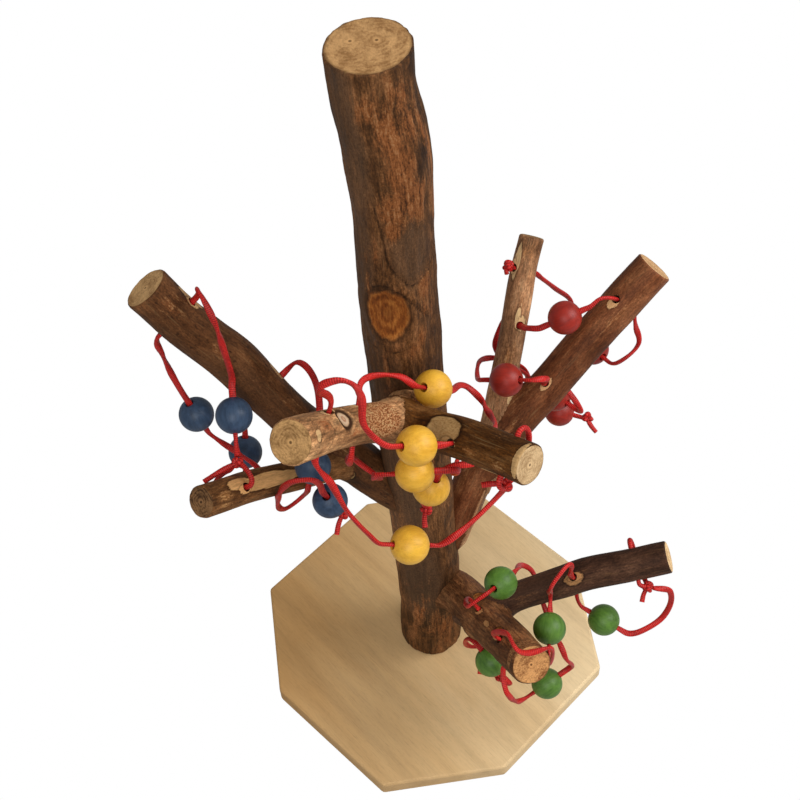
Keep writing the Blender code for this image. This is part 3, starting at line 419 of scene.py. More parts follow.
def bark_material(name, dark, middle, light, warm, pale, even, speck=0.5, gloss=0.6, rough=1.0):
    """Thin bark, with worn, bare, flecked and even patches, scars and chips, and painted shade in
    the folds, where the masks that are painted on the log ask for them."""
    n = material_nodes(name)
    place = n.attribute("stick")
    worn, chip, shade = n.separate(n.attribute("masks"))
    strip, flecked, smooth = n.separate(n.attribute("zones"))
    ringed, eye, cut = n.separate(n.attribute("knots"))
    crease = n.attribute("crease", "Fac")
    streaks = n.noise(place, (400, 400, 30), 6, 0.66, 0.4)
    mottle = n.noise(place, (105, 105, 48), 5, 0.62, 0.6)
    cloud = n.noise(place, (30, 30, 15), 3, 0.5, 0.3)
    fine = n.noise(place, (1000, 1000, 210), 3, 0.65)
    grit = n.noise(place, (1400, 1400, 800), 3, 0.7)
    hairs = n.noise(place, (1100, 1100, 55), 2, 0.5)
    dots = n.noise(place, (520, 520, 330), 1, 0.4)

    # Plain bark, from its broad tone down to pale hairs and dark dots
    tone = n.total(n.times(mottle, 0.62), n.times(cloud, 0.38))
    base = n.ramp(tone, (0.36, dark), (0.49, middle), (0.63, light))
    base = n.shade(0.8, base, cloud, (0.36, 0.70), (0.50, 1.0), (0.64, 1.30))
    lines = n.ramp(streaks, (0.32, 0.40), (0.50, 0.97), (0.68, 1.60))
    base = n.mix(0.75 * rough, base, lines, "MULTIPLY")
    base = n.shade(0.75 * rough, base, fine, (0.34, 0.48), (0.50, 1.0), (0.66, 1.65))
    grains = n.ramp(grit, (0.36, 0.52), (0.50, 1.0), (0.66, 1.60))
    base = n.mix(0.60, base, grains, "MULTIPLY")
    base = n.mix(n.ramp(hairs, (0.60, 0.0), (0.72, 0.55 * rough)), base, dim(pale, 0.50))
    base = n.shade(speck, base, dots, (0.66, 1.0), (0.72, 0.38))

    # Even stretches
    still = n.mix(0.35, n.mix(0.5, even, middle), lines, "MULTIPLY")
    still = n.mix(0.55, still, grains, "MULTIPLY")
    calm = n.step(n.total(smooth, n.swing(mottle, 0.5)), 0.35, 0.62)
    base = n.mix(n.times(calm, 0.72), base, still)

    # Worn patches of warm fibres, with ragged edges
    edge = n.total(worn, n.swing(streaks, 1.3), n.swing(mottle, 1.0), n.swing(grit, 0.6))
    threads = n.total(n.times(streaks, 0.38), n.times(fine, 0.36), n.times(grit, 0.26))
    fibres = n.ramp(threads, (0.40, dim(warm, 0.16)), (0.465, dim(warm, 0.62)),
                    (0.53, dim(warm, 1.1)), (0.61, dim(pale, 0.80)))
    base = n.mix(n.step(edge, 0.32, 0.66), base, fibres)

    # Rusty flecks
    flecks = n.ramp(grit, (0.40, dim(warm, 0.30)), (0.49, dim(warm, 0.85)),
                    (0.60, dim(pale, 0.75)))
    base = n.mix(n.step(n.total(flecked, n.swing(mottle, 0.3)), 0.46, 0.56), base, flecks)

    # Bare wood where the bark has come off, with a dark edge
    bare = n.total(strip, n.swing(mottle, 0.45), n.swing(streaks, 0.4))
    wood = n.shade(0.75, pale, fine, (0.3, 0.62), (0.52, 1.0), (0.7, 1.2))
    wood = n.shade(0.5, wood, streaks, (0.32, 0.55), (0.55, 1.05))
    dark_edge = n.ramp(bare, (0.40, 0.0), (0.48, 0.75), (0.53, 0.0))
    base = n.mix(dark_edge, base, dim(dark, 0.5))
    base = n.mix(n.step(bare, 0.50, 0.56), base, wood)

    # Knots: a ringed heart inside a dark lip
    wobble = n.swing(n.noise(place, (300, 300, 110), 3, 0.5), 0.30)
    ring = n.total(ringed, wobble)
    waves = n.times(n.maths("SINE", n.times(ring, 17.0)), 0.12)
    heart = n.ramp(n.total(waves, n.swing(fine, 1.2), mottle), (0.20, (0.110, 0.030, 0.006)),
                   (0.50, (0.215, 0.063, 0.012)), (0.78, (0.370, 0.135, 0.028)))
    heart = n.shade(0.4, heart, grit, (0.35, 0.6), (0.6, 1.15))
    heart = n.mix(n.ramp(ring, (0.05, 0.55), (0.40, 0.0)), heart, (0.110, 0.030, 0.007))
    base = n.mix(n.ramp(ring, (0.80, 1.0), (0.97, 0.0)), base, heart)
    lip = n.ramp(n.times(ring, 0.5), (0.42, 0.0), (0.48, 0.7), (0.56, 0.0))
    base = n.mix(lip, base, dim(dark, 0.6))

    # The eye: a sawn twig with pale rings in a dark socket
    eye = n.total(eye, n.times(wobble, 0.5))
    base = n.mix(n.ramp(eye, (0.80, 1.0), (1.0, 0.0)), base, dim(dark, 0.28))
    pupil = n.ramp(eye, (0.0, (0.20, 0.09, 0.05)), (0.13, (0.55, 0.34, 0.20)),
                   (0.22, (0.36, 0.17, 0.09)), (0.34, (0.62, 0.44, 0.29)),
                   (0.58, (0.48, 0.30, 0.17)))
    base = n.mix(n.ramp(eye, (0.54, 1.0), (0.64, 0.0)), base, pupil)

    # Cut faces
    cut = n.total(cut, wobble)
    face = n.ramp(n.total(n.times(grit, 0.5), n.times(mottle, 0.5)),
                  (0.36, (0.14, 0.070, 0.022)), (0.46, (0.33, 0.190, 0.072)),
                  (0.62, (0.50, 0.320, 0.135)))
    dark_edge = n.ramp(n.times(cut, 0.5), (0.40, 0.0), (0.47, 0.9), (0.56, 0.0))
    base = n.mix(dark_edge, base, dim(dark, 0.4))
    base = n.mix(n.ramp(cut, (0.84, 1.0), (0.92, 0.0)), base, face)

    # Painted shade in the folds, then raw chips round the drilled holes, then the broad shade
    fold = n.total(n.times(crease, 0.2), n.swing(grit, 0.10), n.swing(mottle, 0.08))
    base = n.mix(n.ramp(fold, (0.03, 0.80), (0.15, 0.0)), base, dim(dark, 0.3))
    ragged = n.total(chip, n.swing(grit, 0.7), n.swing(streaks, 0.8))
    raw = n.shade(0.6, dim(pale, 1.12), fine, (0.3, 0.7), (0.6, 1.08))
    base = n.mix(n.ramp(ragged, (0.30, 0.0), (0.44, 0.45)), base, dim(dark, 0.7))
    base = n.mix(n.step(ragged, 0.50, 0.62), base, raw)
    base = n.shade(1.0, base, shade, (0.0, 0.30), (0.5, 1.0), (1.0, 1.55))
    return n.finish(base, n.ramp(mottle, (0.35, gloss - 0.08), (0.65, gloss + 0.14)), 0.10,
                    (streaks, 0.45 * rough, 0.0008), (n.total(fine, grit), 0.55 * rough, 0.00035))


def end_material(name, dark, light, contrast, grain=0.28, pith=((0.0, 0.0),), ring_gap=0.0016):
    """A sawn end: uneven growth rings round its pith, saw scratches, stains and a dark rim."""
    n = material_nodes(name)
    place = n.attribute("stick")
    flat = n.scaled(place, (1.0, 1.0, 0.0))
    reach = None
    for x, y in pith:
        away = n.add("VectorMath", "Value", {0: flat, 1: (x, y, 0.0)}, operation="DISTANCE")
        reach = away if reach is None else n.maths("MINIMUM", reach, away)
    near = n.times(reach, 200.0)
    reach = n.total(reach, n.swing(n.noise(place, (150, 150, 0), 4, 0.6), 0.007))
    rings = n.maths("SINE", n.times(reach, math.tau / ring_gap))
    rings = n.total(n.times(rings, 0.5), 0.5)
    fine = n.noise(place, (1300, 800, 0), 5, 0.75)
    broad = n.noise(place, (170, 120, 0), 4, 0.6, 0.5)
    faint = n.noise(place, (230, 230, 0), 3, 0.6)
    scratch = n.noise(place, (160, 2300, 0), 2, 0.5)
    shown = n.times(rings, n.ramp(faint, (0.38, 0.1), (0.60, 1.0)))
    tone = n.total(broad, n.swing(fine, grain), n.times(shown, contrast * -0.24))
    colour = n.ramp(tone, (0.30, dark), (0.54, light), (0.72, dim(light, 1.15)))
    colour = n.shade(0.5, colour, fine, (0.3, 0.5), (0.5, 1.0), (0.7, 1.25))
    colour = n.shade(0.4, colour, scratch, (0.32, 0.7), (0.5, 1.0), (0.7, 1.15))
    halo = n.ramp(near, (0.10, dim(dark, 0.3)), (0.17, dim(light, 1.3)), (0.34, dim(light, 1.1)))
    colour = n.mix(n.ramp(near, (0.26, 0.7), (0.42, 0.0)), colour, halo)
    rim = n.total(n.attribute("rim", "Fac"), n.swing(fine, 0.6))
    colour = n.mix(n.ramp(rim, (0.45, 0.0), (0.95, 0.85)), colour, dim(dark, 0.40))
    return n.finish(colour, 0.8, 0.15, (rings, 0.12, 0.0002), (fine, 0.5, 0.0003))


def board_material():
    """Pale sanded hardwood with a fine slanting grain, and painted shade that darkens it towards
    the left.
    """
    n = material_nodes("board_wood")
    where = n.add("TexCoord", "Object", {})
    grain_turn = (0, 0, math.radians(56))
    place = n.add("Mapping", "Vector", {"Vector": where, "Rotation": grain_turn})
    broad = n.noise(place, (6, 26, 26), 4, 0.55, 0.25)
    bands = n.noise(place, (9, 110, 110), 4, 0.6, 0.15)
    pores = n.noise(place, (110, 1900, 1900), 3, 0.6)
    flecks = n.noise(place, (320, 900, 900), 2, 0.5)
    # Broad staves of tone, plus painted shade and light: darker towards the left, where the tree's
    # shadow falls, and lighter towards the right
    staves_and_painted_shade = n.total(n.swing(broad, 0.35), 0.5, n.times(n.separate(where)[0], 2.3))
    colour = n.ramp(staves_and_painted_shade, (0.28, (0.50, 0.285, 0.110)), (0.50, (0.61, 0.405, 0.195)),
                    (0.74, (0.77, 0.585, 0.340)))
    colour = n.shade(0.55, colour, bands, (0.32, 0.80), (0.50, 1.0), (0.68, 1.14))
    colour = n.shade(0.7, colour, pores, (0.30, 0.82), (0.46, 1.0), (0.70, 1.05))
    colour = n.shade(0.35, colour, flecks, (0.30, 0.84), (0.45, 1.0))
    return n.finish(colour, 0.6, 0.18, (pores, 0.12, 0.00015))


def bead_material(name, dark, light):
    """Turned beech under a thin matte stain: the grain runs along the bore."""
    n = material_nodes(name)
    place = n.attribute("bead")
    grain = n.noise(place, (520, 520, 90), 4, 0.6, 0.3)
    broad = n.noise(place, (120, 120, 45), 2, 0.5)
    pores = n.noise(place, (2400, 2400, 420), 2, 0.6)
    both = n.total(n.times(grain, 0.6), n.times(broad, 0.4))
    colour = n.ramp(both, (0.34, dark), (0.62, light))
    colour = n.shade(0.6, colour, pores, (0.30, 0.72), (0.46, 1.0))
    return n.finish(colour, 0.44, 0.34, (pores, 0.15, 0.00015))


def lace_material():
    """Satin cord: fine strands that cross on the slant, with painted shade and painted glints."""
    n = material_nodes("lace_satin")
    place = n.attribute("cord")
    around, along, _ = n.separate(place)
    turns = n.times(around, 8 * math.tau)
    slope = n.times(along, math.tau / 0.0019)
    one = n.maths("SINE", n.maths("ADD", turns, slope))
    two = n.maths("SINE", n.maths("SUBTRACT", turns, slope))
    weave = n.total(n.times(n.times(one, two), 0.5), 0.5)
    fine = n.noise(place, (22, 1100, 0), 3, 0.6)
    broad = n.noise(place, (2, 90, 0), 2, 0.5)
    # Painted shade in the grooves between the strands and painted highlight on their crowns
    colour = n.ramp(weave, (0.0, (0.20, 0.005, 0.005)), (0.50, (0.46, 0.011, 0.010)),
                    (1.0, (0.78, 0.030, 0.024)))
    colour = n.shade(0.5, colour, fine, (0.3, 0.62), (0.6, 1.15))
    colour = n.shade(0.8, colour, broad, (0.38, 0.62), (0.60, 1.10))
    # Painted glints: short bright highlights along the weave
    painted_glint = n.total(n.times(weave, 0.5), n.times(fine, 0.6))
    colour = n.mix(n.ramp(painted_glint, (0.62, 0.0), (0.80, 0.7)), colour, (0.92, 0.075, 0.055))
    return n.finish(colour, 0.42, 0.2, (weave, 0.2, 0.0002))


def plain_material(name, colour, roughness, metallic, scale):
    """Small hidden pieces: a mottled surface with fine wear."""
    n = material_nodes(name)
    cloud = n.noise(n.add("TexCoord", "Object", {}), scale, 4, 0.6)
    tone = n.ramp(cloud, (0.3, dim(colour, 0.75)), (0.7, dim(colour, 1.2)))
    return n.finish(tone, roughness, 0.5, (cloud, 0.1, 0.0001), metallic=metallic)


def link(name, data):
    """A new object in the scene for a mesh, camera or light."""
    thing = bpy.data.objects.new(name, data)
    bpy.context.collection.objects.link(thing)
    return thing


def make_camera():
    data = bpy.data.cameras.new("camera")
    data.lens = CAMERA_LENS
    data.sensor_width = CAMERA_SENSOR
    data.clip_start = 0.01
    camera = link("camera", data)
    right, down, forward = Vector(CAMERA_RIGHT), Vector(CAMERA_DOWN), Vector(CAMERA_FORWARD)
    turn = Matrix((right, -down, -forward)).transposed()
    camera.matrix_world = Matrix.Translation(CAMERA_PLACE) @ turn.to_4x4()
    bpy.context.scene.camera = camera


def white_to_camera(owner, lit, lit_inputs, glow, output):
    """Shader nodes that light the tree in one way, while the camera sees plain white."""
    n = Nodes(owner)
    n.tree.nodes.clear()
    surface = n.add("MixShader", 0, {
        "Fac": n.add("LightPath", "Is Camera Ray", {}),
        1: n.add(lit, 0, lit_inputs),
        2: n.add(glow, 0, {"Color": (1.0, 1.0, 1.0), "Strength": 1.0}),
    })
    n.feed(n.tree.nodes.new(output), {"Surface": surface})


def area_lamp(name, place, target, size, power):
    data = bpy.data.lights.new(name, "AREA")
    data.shape = "DISK"
    data.size = size
    data.energy = power
    lamp = link(name, data)
    lamp.location = place
    lamp.rotation_euler = (Vector(target) - Vector(place)).to_track_quat("-Z", "Y").to_euler()


def make_studio():
    """White surroundings as the camera sees them, with soft light from the right."""
    world = bpy.data.worlds.new("studio")
    sky = {"Color": (1.0, 0.985, 0.96), "Strength": 0.35}
    white_to_camera(world, "Background", sky, "Background", "ShaderNodeOutputWorld")
    bpy.context.scene.world = world
    area_lamp("key", (1.02, -0.22, 1.16), (0.0, -0.02, 0.15), 1.1, 17.5)
    area_lamp("front", (-0.25, -1.00, 1.10), (0.0, 0.0, 0.2), 0.9, 7.5)

    material = bpy.data.materials.new("floor_white")
    mid_grey = {"Color": (0.50, 0.50, 0.50)}
    white_to_camera(material, "BsdfDiffuse", mid_grey, "Emission", "ShaderNodeOutputMaterial")
    reach, level = 6.0, -0.0004
    corners = [(x * reach, y * reach, level) for x, y in ((-1, -1), (1, -1), (1, 1), (-1, 1))]
    data = bpy.data.meshes.new("floor")
    data.from_pydata(corners, [], [(0, 1, 2, 3)])
    data.materials.append(material)
    floor = link("floor", data)
    bpy.context.scene.view_settings.view_transform = "Standard"


def new_mesh(name, verts, faces, materials):
    data = bpy.data.meshes.new(name)
    data.from_pydata([tuple(v) for v in verts], [], [tuple(f) for f in faces])
    data.update()
    for entry in materials:
        data.materials.append(entry)
    data.shade_smooth()
    return link(name, data)


def vertex_places(data):
    points = np.empty(len(data.vertices) * 3)
    data.vertices.foreach_get("co", points)
    return points.reshape(-1, 3)


def apply_boolean(target, tool, operation):
    """Join or cut a piece with a tool, which is then removed."""
    step = target.modifiers.new(operation.lower(), "BOOLEAN")
    step.operation, step.solver, step.object = operation, "EXACT", tool
    bpy.context.view_layer.update()
    graph = bpy.context.evaluated_depsgraph_get()
    result = bpy.data.meshes.new_from_object(target.evaluated_get(graph))
    target.modifiers.clear()
    old = target.data
    target.data = result
    bpy.data.meshes.remove(old)
    bpy.data.objects.remove(tool)


def quads(a, b, sides):
    """The faces between two rings whose vertices start at a and b."""
    return [(a + k, a + (k + 1) % sides, b + (k + 1) % sides, b + k) for k in range(sides)]


def drill(centre, ahead, radius):
    """A round cutter through a point."""
    start, end = centre - ahead * DRILL_REACH, centre + ahead * DRILL_REACH
    ahead = unit(end - start)
    side = unit(np.cross(ahead, (0.3, 0.5, 0.8)))
    up = np.cross(ahead, side)
    sides = SIDES["drill"]
    verts = []
    for middle in (start, end):
        for k in range(sides):
            a = math.tau * k / sides
            verts.append(middle + (side * math.cos(a) + up * math.sin(a)) * radius)
    ends = [tuple(range(sides))[::-1], tuple(range(sides, 2 * sides))]
    return new_mesh("drill", verts, quads(0, sides, sides) + ends, [])


def log_mesh(name, kind, log, relief, materials, others=()):
    """A closed log: rings with bark relief, eased sawn ends, and a fillet towards others."""
    sides, length = SIDES[kind], log.s[-1]
    stations = np.linspace(0, length, max(8, int(length / SPACING[kind])))
    inner = (stations > SAWN_EASE * 1.5) & (stations < length - SAWN_EASE * 1.5)
    stations = np.r_[0.0, SAWN_STEP, SAWN_EASE, stations[inner],
                     length - SAWN_EASE, length - SAWN_STEP, length]
    inset = np.zeros(len(stations))
    inset[[0, -1]], inset[[1, -2]] = SAWN_DROPS
    angles = np.arange(sides) * math.tau / sides
    centres, rings = [], []
    for s, drop in zip(stations, inset):
        c, u, v = (np.array([np.interp(s, log.s, rows[:, k]) for k in range(3)])
                   for rows in (log.c, log.u, log.v))
        out = np.cos(angles)[:, None] * unit(u) + np.sin(angles)[:, None] * unit(v)
        r = np.interp(s, log.s, log.r)
        ring = c + out * (r + relief(s, angles, r) - drop)[:, None]
        for other in others:
            gap = other.coordinates(ring)[:, 3]
            push = np.clip(1 - np.abs(gap) / FILLET_REACH, 0, None) ** 2 * FILLET_HEIGHT
            ring = ring + out * push[:, None]
        centres.append(c)
        rings.append(ring)
    verts = [point for ring in rings for point in ring]
    faces = []
    for i in range(len(rings) - 1):
        faces.extend(quads(i * sides, (i + 1) * sides, sides))
    for end, order in ((0, -1), (-1, 1)):
        rim = end % len(rings) * sides
        for share in SAWN_RINGS:
            now = len(verts)
            for point in rings[end]:
                p = centres[end] + (point - centres[end]) * share
                verts.append(p + log.t[end] * SAWN_ROUGHNESS * noise.noise(Vector(p) * 700))
            faces.extend(face[::order] for face in quads(rim, now, sides))
            rim = now
        verts.append(centres[end])
        for k in range(sides):
            faces.append((rim + k, rim + (k + 1) % sides, len(verts) - 1)[::order])
    return new_mesh(name, verts, faces, materials)


def set_attribute(data, name, kind, values):
    made = data.attributes.new(name, kind, "POINT")
    key = {"FLOAT": "value", "FLOAT_VECTOR": "vector"}[kind]
    made.data.foreach_set(key, np.ascontiguousarray(values, dtype=np.float32).ravel())


# Marks on the bark, each at a share of its log and an angle round it.
# Scars: half height and half width, how far they stand out, and their kind.
SCARS = {
    "trunk": ((0.708, -113, 0.0175, 0.011, 0.001, "ringed"),
        (0.33, 60, 0.011, 0.008, 0.0009, "ringed"), (0.86, 110, 0.012, 0.0085, 0.0008, "ringed"),
        (0.14, -20, 0.007, 0.005, 0.0006, "cut")),
    "blue_limb": ((0.29, -80, 0.005, 0.0034, 0.0008, "cut"),
        (0.52, 170, 0.005, 0.004, 0.0006, "ringed")),
    "blue_prong": ((0.4, 120, 0.0035, 0.003, 0.0005, "cut"),),
    "red_limb": ((0.42, 15, 0.004, 0.003, 0.0006, "ringed"),
        (0.3, 120, 0.005, 0.004, 0.0006, "ringed")),
    "red_prong": ((0.5, -150, 0.0035, 0.003, 0.0005, "cut"),),
    "green_limb": ((0.44, -10, 0.006, 0.004, 0.001, "ringed"),
        (0.78, 25, 0.0045, 0.0035, 0.0007, "ringed"), (0.4, 170, 0.004, 0.0035, 0.0006, "ringed")),
    "green_prong": ((0.72, 160, 0.004, 0.003, 0.0005, "ringed"),),
    "yellow_limb": ((0.77, -38, 0.0062, 0.0058, 0.0013, "eye"),
        (0.5, 160, 0.005, 0.004, 0.0006, "ringed")),
    "yellow_prong": ((0.44, 26, 0.0105, 0.0066, 0.0007, "cut"),),
}
# Worn, warm-coloured patches: half length as a share, half width in degrees, strength
WORN = {
    "trunk": ((0.965, -60, 0.03, 26, 0.55), (0.955, -104, 0.03, 18, 0.6),
        (0.93, -84, 0.045, 30, 0.78), (0.93, -52, 0.03, 14, 0.7), (0.895, -76, 0.04, 30, 0.88),
        (0.86, -68, 0.038, 28, 0.9), (0.845, -92, 0.032, 24, 0.86), (0.822, -96, 0.016, 20, 0.76),
        (0.9, -28, 0.06, 14, 0.6), (0.738, -94, 0.014, 15, 0.66), (0.735, -52, 0.026, 16, 0.66),
        (0.705, -58, 0.03, 10, 0.56), (0.736, -46, 0.028, 16, 0.56), (0.7, -40, 0.03, 14, 0.5),
        (0.672, -62, 0.024, 15, 0.5), (0.652, -78, 0.024, 19, 0.46), (0.6, -86, 0.03, 16, 0.4),
        (0.54, -66, 0.04, 14, 0.4), (0.44, -70, 0.06, 16, 0.44), (0.578, -36, 0.04, 12, 0.44),
        (0.82, -12, 0.06, 16, 0.56), (0.06, -62, 0.06, 24, 0.66), (0.1, -88, 0.05, 16, 0.56),
        (0.12, -112, 0.1, 30, 0.46), (0.5, 60, 0.1, 20, 0.6), (0.78, -124, 0.04, 7, 0.55),
        (0.62, -120, 0.05, 7, 0.5), (0.72, -138, 0.1, 8, 0.5), (0.75, 150, 0.08, 18, 0.6),
        (0.25, 170, 0.08, 20, 0.5), (0.88, 60, 0.06, 22, 0.6)),
    "blue_limb": ((0.95, -40, 0.04, 34, 0.56), (0.93, 5, 0.03, 14, 0.56),
        (0.62, -30, 0.1, 18, 0.42), (0.4, -40, 0.08, 18, 0.42), (0.7, 120, 0.08, 25, 0.4),
        (0.8, -50, 0.06, 14, 0.44)),
    "blue_prong": ((0.92, -60, 0.05, 40, 0.5), (0.35, 100, 0.15, 24, 0.5),
        (0.5, 20, 0.2, 16, 0.35)),
    "red_limb": ((0.86, 50, 0.1, 20, 0.48), (0.62, -10, 0.1, 16, 0.46), (0.45, 30, 0.1, 26, 0.5),
        (0.8, 140, 0.07, 24, 0.4), (0.3, 10, 0.06, 30, 0.48)),
    "red_prong": ((0.7, 20, 0.12, 18, 0.5), (0.94, 12, 0.07, 36, 0.66), (0.46, 6, 0.1, 28, 0.6),
        (0.45, 140, 0.12, 24, 0.5)),
    "green_limb": ((0.6, -5, 0.07, 22, 0.66), (0.5, 45, 0.05, 16, 0.56), (0.88, 8, 0.08, 40, 0.74),
        (0.72, 24, 0.07, 22, 0.6), (0.25, 10, 0.05, 30, 0.5)),
    "green_prong": ((0.56, 20, 0.05, 20, 0.46), (0.3, 40, 0.1, 18, 0.36),
        (0.85, 120, 0.08, 25, 0.35)),
    "yellow_limb": ((0.89, -42, 0.06, 28, 0.62), (0.72, -85, 0.04, 20, 0.5),
        (0.92, -100, 0.05, 18, 0.46), (0.8, 60, 0.1, 24, 0.4), (0.3, 0, 0.05, 30, 0.3),
        (0.66, -20, 0.04, 14, 0.5)),
    "yellow_prong": ((0.8, -10, 0.06, 20, 0.46), (0.86, 80, 0.05, 26, 0.5),
        (0.64, 60, 0.05, 14, 0.5), (0.3, -20, 0.08, 14, 0.4)),
}
# Strips where the bark has come off: half length as a share, half width in degrees
STRIPPED = {
    "blue_limb": ((0.915, 27, 0.045, 15), (0.628, 24, 0.035, 10)),
    "blue_prong": ((0.64, -40, 0.2, 30), (0.82, -20, 0.07, 22)),
    "red_prong": ((0.885, -34, 0.08, 19), (0.65, 20, 0.05, 12), (0.3, 55, 0.12, 14)),
    "green_limb": ((0.66, 30, 0.03, 8),),
    "green_prong": ((0.54, 32, 0.05, 22),),
    "yellow_limb": ((0.955, -60, 0.018, 16),),
    "yellow_prong": ((0.985, 30, 0.02, 60), (0.8, 120, 0.1, 14)),
}
# Bark covered in short rusty flecks, and stretches of dark even bark
FLECKED = {
    "yellow_limb": ((0.565, -50, 0.09, 75),),
    "green_limb": ((0.965, 10, 0.02, 80),),
}
SMOOTH = {
    "trunk": ((0.785, -72, 0.04, 30), (0.66, -150, 0.3, 22), (0.92, -142, 0.1, 24),
        (0.45, -110, 0.16, 26), (0.2, -110, 0.1, 40)),
    "blue_limb": ((0.6, -75, 0.18, 40),),
    "green_prong": ((0.3, 10, 0.15, 50),),
}
# Folds in the bark: runs of share and angle
CREASES = {
    "trunk": (((0.85, -120), (0.819, -113), (0.777, -108), (0.759, -91), (0.743, -77),
        (0.747, -61), (0.752, -38), (0.775, -20)), ((0.742, -135), (0.75, -118), (0.747, -104),
        (0.731, -83), (0.707, -64), (0.692, -52)), ((0.655, -150), (0.648, -120), (0.655, -92)),
        ((0.848, -95), (0.845, -88))),
    "yellow_limb": (((0.468, -150), (0.47, -110), (0.452, -60), (0.456, -10), (0.45, 40)),
        ((0.86, -30), (0.84, -70), (0.87, -110)), ((0.945, -10), (0.93, -50), (0.95, -90))),
}


def wrap(angle):
    return (angle + math.pi) % math.tau - math.pi


def rounded(run):
    """The run with its corners cut twice, so that it bends softly."""
    points = np.array(run, float)
    for _ in range(2):
        inner = np.repeat(points, 2, axis=0)[1:-1]
        inner = inner * 0.75 + inner.reshape(-1, 2, 2)[:, ::-1].reshape(-1, 2) * 0.25
        points = np.vstack((points[:1], inner, points[-1:]))
    return points


def crease_distance(name, length, s, a, r):
    """Distance on the surface to the nearest fold, for arrays of places."""
    best = np.full(np.shape(s), 0.05)
    for run in map(rounded, CREASES.get(name, ())):
        for (s0, a0), (s1, a1) in zip(run, run[1:]):
            x0, y0 = wrap(a - math.radians(a0)) * r, s - s0 * length
            x1, y1 = math.radians(a1 - a0) * r, (s1 - s0) * length
            t = np.clip((x0 * x1 + y0 * y1) / (x1 * x1 + y1 * y1), 0, 1)
            best = np.minimum(best, np.hypot(x0 - x1 * t, y0 - y1 * t))
    return best


def scar_distance(scar, length, s, a, r):
    """Distance from a scar's middle, one at its edge."""
    share, angle, tall, wide = scar[:4]
    return np.hypot(wrap(a - math.radians(angle)) * r / wide, (s - share * length) / tall)


def relief_of(name, kind, length, seed):
    """Bark relief of one log as a function of place along, angles round and radius."""
    wrinkle, lump = BARK_RELIEF[kind]
    (across, along), (wide, tall) = WRINKLE_SCALES, LUMP_SCALES

    def relief(s, angles, r):
        height = np.empty(len(angles))
        for i, a in enumerate(angles):
            x, y = math.cos(a) * r, math.sin(a) * r
            fine = noise.fractal(Vector((x * across + seed, y * across, s * along)), 0.9, 2.1, 4)
            broad = noise.noise(Vector((x * wide, y * wide + seed, s * tall)))
            height[i] = wrinkle * fine + lump * broad
        for scar in SCARS[name]:
            stand, mark = scar[4:]
            e = scar_distance(scar, length, s, angles, r)
            height += stand * np.exp(-((e - 1.05) / 0.30) ** 2)
            height += (-0.6 if mark == "ringed" else 0.35) * stand * np.exp(-(e / 0.7) ** 4)
        away = crease_distance(name, length, s, angles, r)
        lip = LIP_HEIGHT * np.exp(-((away - LIP_PLACE) / LIP_WIDTH) ** 2)
        height -= FOLD_DEPTH * np.exp(-(away / FOLD_WIDTH) ** 2) - lip
        return height

    return relief


def patch_value(share, angle, rows):
    """One inside a row's oval, falling off past its edge, for the strongest of the rows."""
    value = np.zeros(len(share))
    for s0, a0, ds, da in rows:
        turn = np.degrees(np.abs(wrap(angle - math.radians(a0))))
        value = np.maximum(value, 1.0 - 0.5 * np.hypot((share - s0) / ds, turn / da))
    return value


